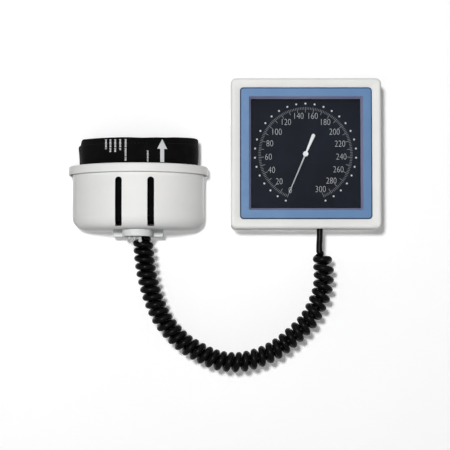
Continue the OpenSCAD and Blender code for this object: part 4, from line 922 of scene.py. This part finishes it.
# The skirt's hollow stops short of the back wall, which the rim joins
rim_rings = [d_ring(-RIM_T, -RIM_T, SKIRT_BACK), d_ring(-RIM_T, -RIM_H + 0.5, SKIRT_BACK),
             d_ring(-RIM_T + 0.4, -RIM_H, SKIRT_BACK), d_ring(-0.5, -RIM_H), d_ring(0, -RIM_H + 0.5)]
rim_rings += [d_ring(-RIM_R + x, -RIM_R + z) for x, z in arc(RIM_R, 0, 90, 5)]

inside = -RIM_OUT - WALL
inner_r = FLOOR_R - WALL
cavity_rings = [d_ring(inside - inner_r + x, -BASKET_H + WALL + inner_r + z, WALL)
                for x, z in arc(inner_r, -90, 0, 9)]
cavity_rings += [d_ring(inside, -1.2, WALL), d_ring(inside + 0.35, -0.35, WALL - 0.35),
                 d_ring(inside + 1.6, 0.4, WALL - 1.2)]

SLOT_W = 9.6
SLOT_SPACING = 45.8
SLOT_SHIFT = -0.9
SLOT_TOP = 19.4
SLOT_LOW = BASKET_H - WALL + 0.2


def prism(outline, near_d, far_d):
    """A closed shape between two depths, from its outline of x from the basket's middle and z."""
    return stack_rings([[place(BASKET_X + x, d, z) for x, z in outline] for d in (near_d, far_d)])


def slot_cutter(x):
    """A slot with a round top and a square foot, as a closed shape through the front wall."""
    foot = BASKET_TOP - SLOT_LOW
    outline = [(x + SLOT_W / 2, foot), (x - SLOT_W / 2, foot)]
    outline += [(x + a, BASKET_TOP + (b - SLOT_TOP - SLOT_W / 2)) for a, b in arc(SLOT_W / 2, 180, 0, 12)]
    return prism(outline, BASKET_DEPTH + 5, BASKET_DEPTH - 34)


hole_z = BASKET_TOP - WALL_HOLE_DOWN
wall_holes = [drill(WALL_HOLE_R, place(BASKET_X + s * WALL_HOLE_X, 1, hole_z), (0, 1, 0), 12)
              for s in (-1, 1)]
hose_hole = drill(HOSE_HOLE_R, place(ROUTE[-1][0], HOSE_D, BASKET_TOP - BASKET_H), (0, 0, 1), 12)
slots = [slot_cutter(SLOT_SHIFT + s * SLOT_SPACING / 2) for s in (-1, 1)]
basket_bm = combined("UNION", stack_rings(body_rings), stack_rings(rim_rings))
basket_bm = combined("DIFFERENCE", basket_bm, stack_rings(cavity_rings), *slots, *wall_holes, hose_hole)
finish_piece("basket_moulding", basket_bm, "wall_unit", [basket_white], ["basket_shell"], 32,
             flat=True)

# %% [markdown]
# ## The hose holder
# Under the basket a second moulding guides the hose: a flat bar with a round lobe in front, hollow from
# below, and three small fingers that keep the first turn from swinging. The bar and lobe are one plan
# drawn at several heights. The fingers are separate prisms with softened edges.

# %% Bar and lobe
BAR_HALF = 37
BAR_D0 = 18
BAR_D1 = 32
LOBE_R = 21.5
LOBE_C = 53.5
HOLDER_TOP = BASKET_TOP - BASKET_H
HOLDER_H = 10.9
HOLDER_WALL = 2.5
END_R = 2.2


def holder_ring(out_by, z):
    """The holder's plan moved out by so much, at height z."""
    lobe = LOBE_R + out_by
    front = BAR_D1 + out_by
    back = BAR_D0 - out_by
    half = BAR_HALF + out_by
    plan = [(half - a, back + b) for a, b in [(END_R, 0), (0.3 * END_R, 0.3 * END_R), (0, END_R)]]
    plan += [(half, front - END_R), (half - 0.3 * END_R, front - 0.3 * END_R), (half - END_R, front)]
    plan += [(lobe + 1.2, front), (lobe + 0.35, front + 0.35), (lobe, front + 1.2)]
    plan += [(x, LOBE_C + d) for x, d in arc(lobe, 0, 90, 12)]
    mirrored = [(-x, d) for x, d in reversed(plan[:-1])]
    return [place(BASKET_X + x, d, z) for x, d in plan + mirrored]


HOLDER_LOW = HOLDER_TOP - HOLDER_H
EDGE_R = 1.4
holder_rings = [holder_ring(-0.5, HOLDER_TOP - 0.02), holder_ring(0, HOLDER_TOP - 0.5)]
holder_rings += [holder_ring(-EDGE_R + x, HOLDER_LOW + EDGE_R + z) for x, z in arc(EDGE_R, 0, -90, 4)]
holder_rings += [holder_ring(-HOLDER_WALL + 0.3, HOLDER_LOW), holder_ring(-HOLDER_WALL, HOLDER_LOW + 0.3),
                 holder_ring(-HOLDER_WALL, HOLDER_TOP - HOLDER_WALL)]
hose_hole = drill(HOSE_HOLE_R, place(ROUTE[-1][0], HOSE_D, HOLDER_TOP), (0, 0, 1), 14)
holder_bm = combined("DIFFERENCE", stack_rings(holder_rings), hose_hole)
finish_piece("hose_holder_moulding", holder_bm, "wall_unit", [holder_white_painted_shade], ["hose_holder"],
             40, flat=True)

# %% Three fingers
FINGER_D0 = 62
FINGER_T = 3
FINGER_ROOT = HOLDER_TOP - HOLDER_WALL + 0.3
FINGER_TIP = HOLDER_LOW - 6


def finger(name, outline, hole=None):
    """A flat finger from its outline of x and z, with softened edges."""
    bm = prism(outline, FINGER_D0 + FINGER_T, FINGER_D0)
    if hole:
        middle = place(BASKET_X + hole[0], FINGER_D0, FINGER_TIP)
        bm = combined("DIFFERENCE", bm, drill(hole[1], middle, (0, 1, 0), 12))
    piece = finish_piece(name, bm, "wall_unit", [finger_nylon], (), 40)
    soften = piece.modifiers.new("soften", "BEVEL")
    soften.width = 0.5 * MM
    soften.segments = 2
    soften.limit_method = "ANGLE"
    soften.angle_limit = math.radians(40)


eye = [(-9.9 + x, FINGER_TIP + z) for x, z in arc(3.4, 120, 420, 20)]
finger("holder_eye", [(-8.2, FINGER_ROOT), (-11.6, FINGER_ROOT)] + eye, (-9.9, 1.5))
finger("holder_blade", [(-0.4, FINGER_ROOT), (-4.6, FINGER_ROOT), (-3.55, FINGER_TIP + 0.8),
                        (-2.5, FINGER_TIP), (-1.45, FINGER_TIP + 0.8)])
tongue = [(5.2 + x, FINGER_TIP + z) for x, z in arc(2.66, 135, 405, 16)]
finger("holder_tongue", [(7.1, FINGER_ROOT), (3.3, FINGER_ROOT)] + tongue)

# %% [markdown]
# ## The rolled cuff
# The cuff is a flat nylon sleeve with a rubber bladder in it, sewn round its edge and rolled up. Its
# cross-section is a lens: thin at the sewn hems, thick where the bladder lies. Rings of this section are
# stacked along the spiral. A noise adds the slack folds of a used cuff. Then a cloth simulation, with a
# little air in it and cloth that is 3 % too long for its shape, puckers what stands above the basket.

# %% The spiral
SPIRAL_STEPS = 48
ROLL_X = BASKET_X + 3.9
ROLL_D = 26
CUFF_T = 8
ROLL_STEP = 11
ROLL_HALF = BASKET_W / 2 - RIM_OUT - WALL - 4.5
ROLL_FRONT = BASKET_DEPTH - RIM_OUT - WALL - 9 - ROLL_D
ROLL_BACK = 29
CUFF_LOW = BASKET_TOP - BASKET_H + WALL + 6.5
CUFF_H = 119
CUFF_L = 465
CUFF_TURNS = 57 / SPIRAL_STEPS
# The outer end of the cuff lies here round the roll: 180 is its far left, 270 its front
START_DEG = 177
# The outer end stands off the roll, with its top corner hanging, and the roll's sides ride up
FLAP_L = 17
FLAP_OUT = 4.4
FLAP_DROP = 8
LIFT = 1.1
LIFT_LEFT = 0.2
LIFT_RIGHT = 1.9
BULGE_RIGHT = 0.8


def roll_point(turns, out_by, z):
    """A point of the spiral after so many turns from the cuff's outer end, moved out by so much."""
    angle = math.radians(START_DEG + 360 * turns)
    cos, sin = math.cos(angle), math.sin(angle)
    power = 2 / (2.1 if sin < 0 else 4)
    reach_d = ROLL_FRONT if sin < 0 else ROLL_BACK
    off = out_by - CUFF_T / 2 - ROLL_STEP * turns
    x = ROLL_X + (ROLL_HALF + off) * math.copysign(abs(cos) ** power, cos)
    d = ROLL_D - (reach_d + off) * math.copysign(abs(sin) ** power, sin)
    return place(x, d, z)


def seated(turns, height, out_by):
    """Where a point of the flat cuff lies: so far along, so high, and out by so much."""
    along = turns * CUFF_L / CUFF_TURNS
    up = height / CUFF_H
    aside = (roll_point(turns, 0, 0).x / MM - ROLL_X) / ROLL_HALF
    lift = LIFT + ease((abs(aside) - 0.3) / 0.6) * (LIFT_RIGHT if aside > 0 else LIFT_LEFT)
    z = CUFF_LOW + height + lift * up**2 - FLAP_DROP * ease((FLAP_L + 4 - along) / 9) * up**3
    point = roll_point(turns, out_by + FLAP_OUT * ease(1 - along / FLAP_L) * up, z)
    point.x += BULGE_RIGHT * ease((aside - 0.7) / 0.3) * ease((z - BASKET_TOP) / 10) * MM
    return point


# %% The sleeve's section and its mesh
HEM = 7
HEM_T = 3.2
CORNER_R = 9
HEIGHTS = [0, 0.7, 2.2, 5, 9, 13, 20, 30, 42, 54, 66, 78, 89, 99, 106, 110, 114, 116.8, 118.3, 119]
CUFF_RINGS = 150


def sleeve_faces(height, turns):
    """How far the outer and the inner face stand out: close at the hems, apart over the bladder."""
    from_edge = min(height, CUFF_H - height)
    from_end = min(turns, CUFF_TURNS - turns) * CUFF_L / CUFF_TURNS
    round_edge = math.sqrt(max(1 - (1 - min(from_edge / 1.6, 1)) ** 2, 0.02))
    full = ease((from_edge - 3) / HEM) * ease((from_end - 6) / 16)
    slack = 0.82 if turns > 0.72 else 1.0
    outer = CUFF_T / 2 - 0.3 - 0.8 * (1 - round_edge)
    return outer, outer - round_edge * (HEM_T + (CUFF_T - 0.6 - HEM_T) * full * slack)


def corner_cut(turns):
    """How far the hem is cut back at the sleeve's two round-cornered ends."""
    from_end = min(turns, CUFF_TURNS - turns) * CUFF_L / CUFF_TURNS
    short = max(CORNER_R - from_end, 0)
    return CORNER_R - math.sqrt(CORNER_R**2 - short**2)


def sleeve_ring(turns):
    """One section of the sleeve: up its outer face and down its inner one."""
    cut = corner_cut(turns)
    share = 1 - 2 * cut / CUFF_H
    points = []
    for face, heights in ((0, HEIGHTS), (1, HEIGHTS[::-1])):
        for height in heights:
            points.append(seated(turns, cut + height * share, sleeve_faces(height, turns)[face]))
    return points


ring_turns = [CUFF_TURNS * k / CUFF_RINGS for k in range(CUFF_RINGS + 1)]
cuff_bm = stack_rings([sleeve_ring(t) for t in ring_turns])
print("sleeve", len(cuff_bm.verts), "points")

# %% The cloth's own map
def turns_at(vertex, turns, per_ring):
    """The turns of the ring that a vertex of stacked rings belongs to."""
    return turns[min(vertex.index // per_ring, len(turns) - 1)]


def lay_cloth_map(bm, turns, per_ring):
    """Writes how far along and how high each corner is, in millimetres, into the map called cloth."""
    bm.verts.index_update()
    layer = bm.loops.layers.uv.new(CLOTH_MAP)
    for face in bm.faces:
        for loop in face.loops:
            along = turns_at(loop.vert, turns, per_ring) / CUFF_TURNS * CUFF_L
            loop[layer].uv = (along, loop.vert.co.z / MM - CUFF_LOW)


PER_RING = 2 * len(HEIGHTS)
lay_cloth_map(cuff_bm, ring_turns, PER_RING)

# %% Slack folds
FOLD_DEPTH = 0.6
WAVE_DEPTH = 0.5
BINDING_LOW = 10.5
BINDING_TOP = 9


def crumple(point):
    """How far the used cloth stands out at a point of the sleeve, in metres."""
    where = Vector((point.x * 26, point.y * 26, point.z * 9))
    folds = noise.noise(where) + 0.5 * noise.noise(where * 2.3 + Vector((3, 1, 7)))
    return FOLD_DEPTH * MM * folds


for vertex in cuff_bm.verts:
    turns = turns_at(vertex, ring_turns, PER_RING)
    outward = (roll_point(turns, 1, 0) - roll_point(turns, 0, 0)).normalized()
    vertex.co += outward * crumple(vertex.co)
    vertex.co.z += WAVE_DEPTH * MM * noise.noise(vertex.co * 34)
for face in cuff_bm.faces:
    middle_z = face.calc_center_median().z / MM - CUFF_LOW
    face.material_index = int(middle_z < BINDING_LOW or middle_z > CUFF_H - BINDING_TOP)
cuff = finish_piece("cuff_sleeve_cloth", cuff_bm, "cuff_and_bulb", [cuff_cloth, binding_cloth],
                    ["cuff_sleeve", "bladder"], 60)

# %% A cloth simulation with a little air
SIM_FRAMES = 20
SIM_PRESSURE = 4
SIM_LONGER = 0.03
SIM_CAP = 1.6
HELD_FADE = 8


def puff(piece):
    """Lets the cloth above the basket settle with air in it, each point moved by at most SIM_CAP."""
    group = piece.vertex_groups.new(name="held")
    for vertex in piece.data.vertices:
        group.add([vertex.index], 1 - ease((vertex.co.z / MM - BASKET_TOP) / HELD_FADE), "REPLACE")
    cloth = piece.modifiers.new("air", "CLOTH")
    cloth.settings.use_pressure = True
    cloth.settings.uniform_pressure_force = SIM_PRESSURE
    cloth.settings.shrink_min = -SIM_LONGER
    cloth.settings.vertex_group_mass = "held"
    cloth.settings.effector_weights.gravity = 0
    cloth.point_cache.frame_start = 1
    cloth.point_cache.frame_end = SIM_FRAMES
    for number in range(1, SIM_FRAMES + 1):
        bpy.context.scene.frame_set(number)
    settled = evaluated(piece).to_mesh()
    steps = [moved.co - vertex.co for vertex, moved in zip(piece.data.vertices, settled.vertices)]
    piece.modifiers.remove(cloth)
    piece.vertex_groups.remove(group)
    bpy.context.scene.frame_set(1)
    kept = [step * min(1, SIM_CAP * MM / max(step.length, 0.001 * MM)) for step in steps]
    for vertex, step in zip(piece.data.vertices, kept):
        vertex.co += step
    for when, moves in (("before", steps), ("after", kept)):
        print("largest move", when, "the cap", round(max(move.length for move in moves) / MM, 2), "mm")


puff(cuff)
round_off = cuff.modifiers.new("round", "SUBSURF")
round_off.levels = 1
round_off.render_levels = 1

# %% Hook and loop strips
STRIP_T = 1.2
STRIP_TURNS = 6 / SPIRAL_STEPS
STRIP_RINGS = 24
STRIP_LOW = 10
STRIP_HIGH = CUFF_H - 10


def strip_piece(name, start, out_by, material, node):
    """A flat strip that follows the roll."""
    corners = [(out_by, STRIP_LOW), (out_by, STRIP_HIGH), (out_by + STRIP_T, STRIP_HIGH),
               (out_by + STRIP_T, STRIP_LOW)]
    turns = [start + STRIP_TURNS * k / STRIP_RINGS for k in range(STRIP_RINGS + 1)]
    bm = stack_rings([[seated(t, height, off) for off, height in corners] for t in turns])
    lay_cloth_map(bm, turns, len(corners))
    finish_piece(name, bm, "cuff_and_bulb", [material], [node], 30)


strip_piece("hook_strip_tape", 1 / SPIRAL_STEPS, -CUFF_T / 2 - 0.05 - STRIP_T, hook_cloth,
            "hook_strip")
strip_piece("loop_strip_tape", 1 + 1 / SPIRAL_STEPS, CUFF_T / 2 + 0.05, loop_cloth,
            "loop_strip")

# %% Stitches along the hems
bpy.context.view_layer.update()
cuff_tree = BVHTree.FromObject(cuff, bpy.context.evaluated_depsgraph_get())
STITCH_PITCH = 3.4
STITCH_R = 0.28
HEM_LINE = 8


def stitch(bm, here, there):
    """One stitch on the outer face between two places of the flat cuff, given as along and height."""
    ends = []
    for along, height in (here, there):
        turns = along / CUFF_L * CUFF_TURNS
        start = seated(turns, height, CUFF_T / 2 + 1.4)
        inward = (seated(turns, height, 0) - start).normalized()
        ends.append(cuff_tree.ray_cast(start, inward, 5 * MM)[0])
    if all(ends):
        run = ends[1] - ends[0]
        turn = run.to_track_quat("X", "Z").to_matrix().to_4x4()
        size = Matrix.Diagonal((0.36 * run.length, STITCH_R * MM, STITCH_R * MM, 1))
        seat = Matrix.Translation((ends[0] + ends[1]) / 2)
        bmesh.ops.create_icosphere(bm, subdivisions=1, radius=1, matrix=seat @ turn @ size)


stitch_bm = bmesh.new()
for k in range(int((CUFF_L - 2 * HEM_LINE) / STITCH_PITCH)):
    along = HEM_LINE + k * STITCH_PITCH
    for height in (HEM_LINE, CUFF_H - HEM_LINE):
        stitch(stitch_bm, (along, height), (along + STITCH_PITCH, height))
for k in range(int((CUFF_H - 2 * HEM_LINE) / STITCH_PITCH)):
    height = HEM_LINE + k * STITCH_PITCH
    for along in (HEM_LINE, CUFF_L - HEM_LINE):
        stitch(stitch_bm, (along, height), (along, height + STITCH_PITCH))
finish_piece("cuff_stitches", stitch_bm, "cuff_and_bulb", [stitch_thread], (), 80)

# %% Print on the cuff
RAY_START_D = 140
PRINT_LIFT = 0.15
PRINT_TOP = 17.5
# Each line of print by its x, its lowest and highest z and its width
PRINT_LINES = [
    (-287.8, 3, PRINT_TOP, 3.0), (-281.3, -1, PRINT_TOP, 3.0), (-274.2, -1, PRINT_TOP, 3.0),
    (-267.0, 2, PRINT_TOP, 3.0), (-259.2, -13, PRINT_TOP, 3.0), (-227.6, -15, 1, 2.6),
]
ARROW_X = -207
def printed_patch(bm, x, z_low, z_high, width, top_width=None):
    """A flat patch laid on the front of the cuff by a ray from in front of it."""
    top_width = width if top_width is None else top_width
    rows = max(2, round((z_high - z_low) / 2))
    grid = bmesh.ops.create_grid(bm, x_segments=2, y_segments=rows, size=0.5)["verts"]
    for vertex in grid:
        up = vertex.co.y + 0.5
        across = vertex.co.x * (width + (top_width - width) * up)
        start = place(x + across, RAY_START_D, z_low + up * (z_high - z_low))
        hit = cuff_tree.ray_cast(start, Vector((0, 1, 0)))[0]
        if hit:
            vertex.co = hit - Vector((0, PRINT_LIFT * MM, 0))


def printed_line(bm, x, z_low, z_high, width):
    """A row of small blocks, as wide and as loose as a line of small print seen from far away."""
    z = z_high
    k = 0
    while z > z_low + 1:
        block = 0.9 + 0.5 * (k * 7 % 3)
        printed_patch(bm, x + 0.2 * (k % 2), z - block, z, width - 0.5 * (k * 5 % 3))
        z -= block + (1.5 if k % 6 == 5 else 0.55)
        k += 1


print_bm = bmesh.new()
for print_line_at in PRINT_LINES:
    printed_line(print_bm, *print_line_at)
printed_patch(print_bm, ARROW_X, -15, 4, 5.5)
printed_patch(print_bm, ARROW_X, 4, PRINT_TOP, 14, 0.6)
finish_piece("cuff_print", print_bm, "cuff_and_bulb", [cuff_print])

# %% [markdown]
# ## The bulb and the fittings
# These are turned parts: the egg-shaped bulb with its two necks, the flange that leads the air into the
# bladder, and the cover screws. Each is a profile spun round its own line. The valves and the knurled
# release knob keep their CAD shape.

# %% Bulb
bulb_box = node_box("inflation_bulb")
BULB_X = sum(bulb_box["x"]) / 2
BULB_D = sum(bulb_box["d"]) / 2
BULB_R = (bulb_box["x"][1] - bulb_box["x"][0]) / 2
bulb_low, bulb_high = bulb_box["z"]
bulb_half = (bulb_high - bulb_low) / 2
bulb_mid = (bulb_high + bulb_low) / 2
NECK_R = 9
NECK_BORE_R = 6.05
NECK_H = 9
BULB_WALL = 3

def bulb_radius(angle_deg):
    """The bulb's radius at an angle from its waist, fuller below than above."""
    s = math.sin(math.radians(angle_deg))
    return BULB_R / 1.012 * max(math.cos(math.radians(angle_deg)), 0) ** 0.8 * (1 - 0.1 * s)


shell = [(max(bulb_radius(a), NECK_R), bulb_mid + bulb_half * math.sin(math.radians(a)))
         for a in range(-72, 73, 6)]
profile = [(NECK_BORE_R, bulb_low), (NECK_R - 0.6, bulb_low), (NECK_R, bulb_low + 0.6)] + shell
profile += [(NECK_R, bulb_high - 0.6), (NECK_R - 0.6, bulb_high), (NECK_BORE_R, bulb_high),
            (NECK_BORE_R, bulb_high - NECK_H)]
profile += [(max(r - BULB_WALL, NECK_BORE_R), z) for r, z in reversed(shell[1:-1])]
profile += [(NECK_BORE_R, bulb_low + NECK_H), (NECK_BORE_R, bulb_low)]
bulb_bm = turned(profile, place(BULB_X, BULB_D, 0), (0, 0, 1), 48)
finish_piece("inflation_bulb_moulding", bulb_bm, "cuff_and_bulb", [bulb_black],
             ["inflation_bulb"], 40)

# %% Bladder port
port_box = node_box("bladder_port")
port_mid = place(0, sum(port_box["d"]) / 2, sum(port_box["z"]) / 2)
x0, x1 = port_box["x"]
port_bm = turned([(0, x0), (2.6, x0), (3, x0 + 0.4), (3, x1 - 2.2), (3.6, x1 - 1.3), (4.7, x1 - 1),
                  (5, x1 - 0.7), (5, x1), (0, x1)], port_mid, (1, 0, 0), 32)
finish_piece("bladder_port_moulding", port_bm, "cuff_and_bulb", [rubber_black],
             ["bladder_port"])

# %% Cover screws with a cross recess
HEAD_R = 3.36
HEAD_T = 2.2
SHANK_R = 1.4
RECESS_L = 3.8
RECESS_W = 0.95
RECESS_DEEP = 1.5
screws_box = node_box("cover_screws")
screw_l = screws_box["d"][1] - screws_box["d"][0]
screw_profile = [(0, 0), (1.7, 0.05), (2.7, 0.4), (3.2, 0.95), (HEAD_R, 1.6), (HEAD_R, HEAD_T)]
screw_profile += [(SHANK_R, HEAD_T), (SHANK_R, screw_l - 1.8), (0.35, screw_l), (0, screw_l)]
screws_bm = bmesh.new()
recesses = []
for sx in (-1, 1):
    for sz in (-1, 1):
        seat_x = sx * (screws_box["x"][1] - HEAD_R)
        seat_z = sz * (screws_box["z"][1] - HEAD_R)
        middle = place(seat_x, screws_box["d"][0], seat_z)
        turned(screw_profile, middle, (0, -1, 0), 28, screws_bm)
        for across, up in ((RECESS_L, RECESS_W), (RECESS_W, RECESS_L)):
            bar = bmesh.new()
            size = Matrix.Diagonal((across * MM, 2 * RECESS_DEEP * MM, up * MM, 1))
            # Each screw stops at its own angle
            stop = Matrix.Rotation(math.radians(31 * sx + 17 * sz), 4, "Y")
            bmesh.ops.create_cube(bar, size=1, matrix=Matrix.Translation(middle) @ stop @ size)
            recesses.append(bar)
screws_bm = combined("DIFFERENCE", screws_bm, *recesses)
finish_piece("cover_screws_crossed", screws_bm, "wall_unit", [zinc], ["cover_screws"])

# %% [markdown]
# ## Floor, wall and light
# The photograph shows white all round, with a short soft shadow to the lower right of every piece. A
# white wall behind the object catches that shadow. It is there for the eye and for mirrors alone, and
# only from its front, so the back of the object can be looked at as well. The key lamp stands near the
# camera, a little up and to the left. Weaker lamps reach the top, the sides and the back.

# %% Stage materials
def shown_only(tree):
    """1 for rays from the eye and rays that mirror or pass glass, else 0."""
    path = add_node(tree, "ShaderNodeLightPath")
    seen = maths(tree, "MAXIMUM", path.outputs["Is Camera Ray"], path.outputs["Is Glossy Ray"])
    return maths(tree, "MAXIMUM", seen, path.outputs["Is Transmission Ray"])


def stage_material(name, hex_colour, glow, one_sided):
    """A diffuse stage surface with a little glow for the eye. A one-sided one is clear from behind."""
    material, tree = bare_material(name)
    matt = add_node(tree, "ShaderNodeBsdfDiffuse", {}, {"Color": linear(hex_colour)}).outputs["BSDF"]
    shown = shown_only(tree)
    light = add_node(tree, "ShaderNodeEmission", {}, {"Strength": maths(tree, "MULTIPLY", shown, glow)})
    result = add_node(tree, "ShaderNodeAddShader", {}, {
        0: matt, 1: light.outputs["Emission"]}).outputs["Shader"]
    if one_sided:
        back = add_node(tree, "ShaderNodeNewGeometry").outputs["Backfacing"]
        there = maths(tree, "MULTIPLY", maths(tree, "SUBTRACT", 1.0, back), shown)
        clear = add_node(tree, "ShaderNodeBsdfTransparent").outputs["BSDF"]
        result = mixed(tree, there, clear, result)
    show(tree, result)
    return material


wall_white = stage_material("stage_white_wall", "#ffffff", 0.11, True)
floor_pale = stage_material("stage_pale_floor", "#d2d2d2", 0.5, False)

# %% Wall and floor
FLOOR_Z = -450
WALL_TOP = 1300
WALL_W = 5000
FLOOR_W = 9000


def stage_plane(name, width, height, matrix, material):
    """A stage rectangle."""
    bm = bmesh.new()
    bmesh.ops.create_grid(bm, x_segments=1, y_segments=1, size=0.5,
                          matrix=matrix @ Matrix.Diagonal((width * MM, height * MM, 1, 1)))
    mesh = as_mesh(bm, name)
    mesh.materials.append(material)
    plane = put_in_scene(name, mesh)


wall_middle = Matrix.Translation(place(0, -0.6, (WALL_TOP + FLOOR_Z) / 2))
upright = wall_middle @ Matrix.Rotation(math.radians(90), 4, "X")
stage_plane("stage_wall", WALL_W, WALL_TOP - FLOOR_Z, upright, wall_white)
stage_plane("stage_floor", FLOOR_W, FLOOR_W, Matrix.Translation(place(0, 0, FLOOR_Z)), floor_pale)

# %% Lamps and world
AIM_X = -117
AIM_Z = -130
aim = place(AIM_X, 40, AIM_Z)
# Each square lamp by its place, its size, and the level at which it lights matt white at the aim
LAMPS = {
    "key_lamp": ((AIM_X - 380, 3000, AIM_Z + 400), 0.28, 0.75),
    "front_lamp": ((420, 2300, -620), 0.5, 0.05),
    "top_lamp": ((AIM_X, 260, 1500), 1.0, 0.12),
    "back_lamp_left": ((AIM_X - 1050, -2250, 500), 1.2, 0.42),
    "back_lamp_right": ((AIM_X + 1050, -2250, 500), 1.2, 0.24),
}
for lamp_name, (spot, size, level) in LAMPS.items():
    to_aim = aim - place(*spot)
    data = bpy.data.lights.new(lamp_name, "AREA")
    data.size = size
    data.energy = level * math.pi**2 * to_aim.length**2
    lamp = put_in_scene(lamp_name, data)
    lamp.location = place(*spot)
    lamp.rotation_euler = to_aim.to_track_quat("-Z", "Y").to_euler()

world = bpy.data.worlds.new("studio")
bpy.context.scene.world = world
world.use_nodes = True
world_tree = world.node_tree
world_tree.nodes.remove(world_tree.nodes["Background"])
dim, bright = [
    add_node(world_tree, "ShaderNodeBackground", {}, {
        "Color": linear(colour), "Strength": strength}).outputs["Background"]
    for colour, strength in (("#f2f7fb", 0.03), ("#ffffff", 1.0))
]
show(world_tree, mixed(world_tree, shown_only(world_tree), dim, bright), "World Output")
bpy.context.scene.view_settings.view_transform = "Standard"
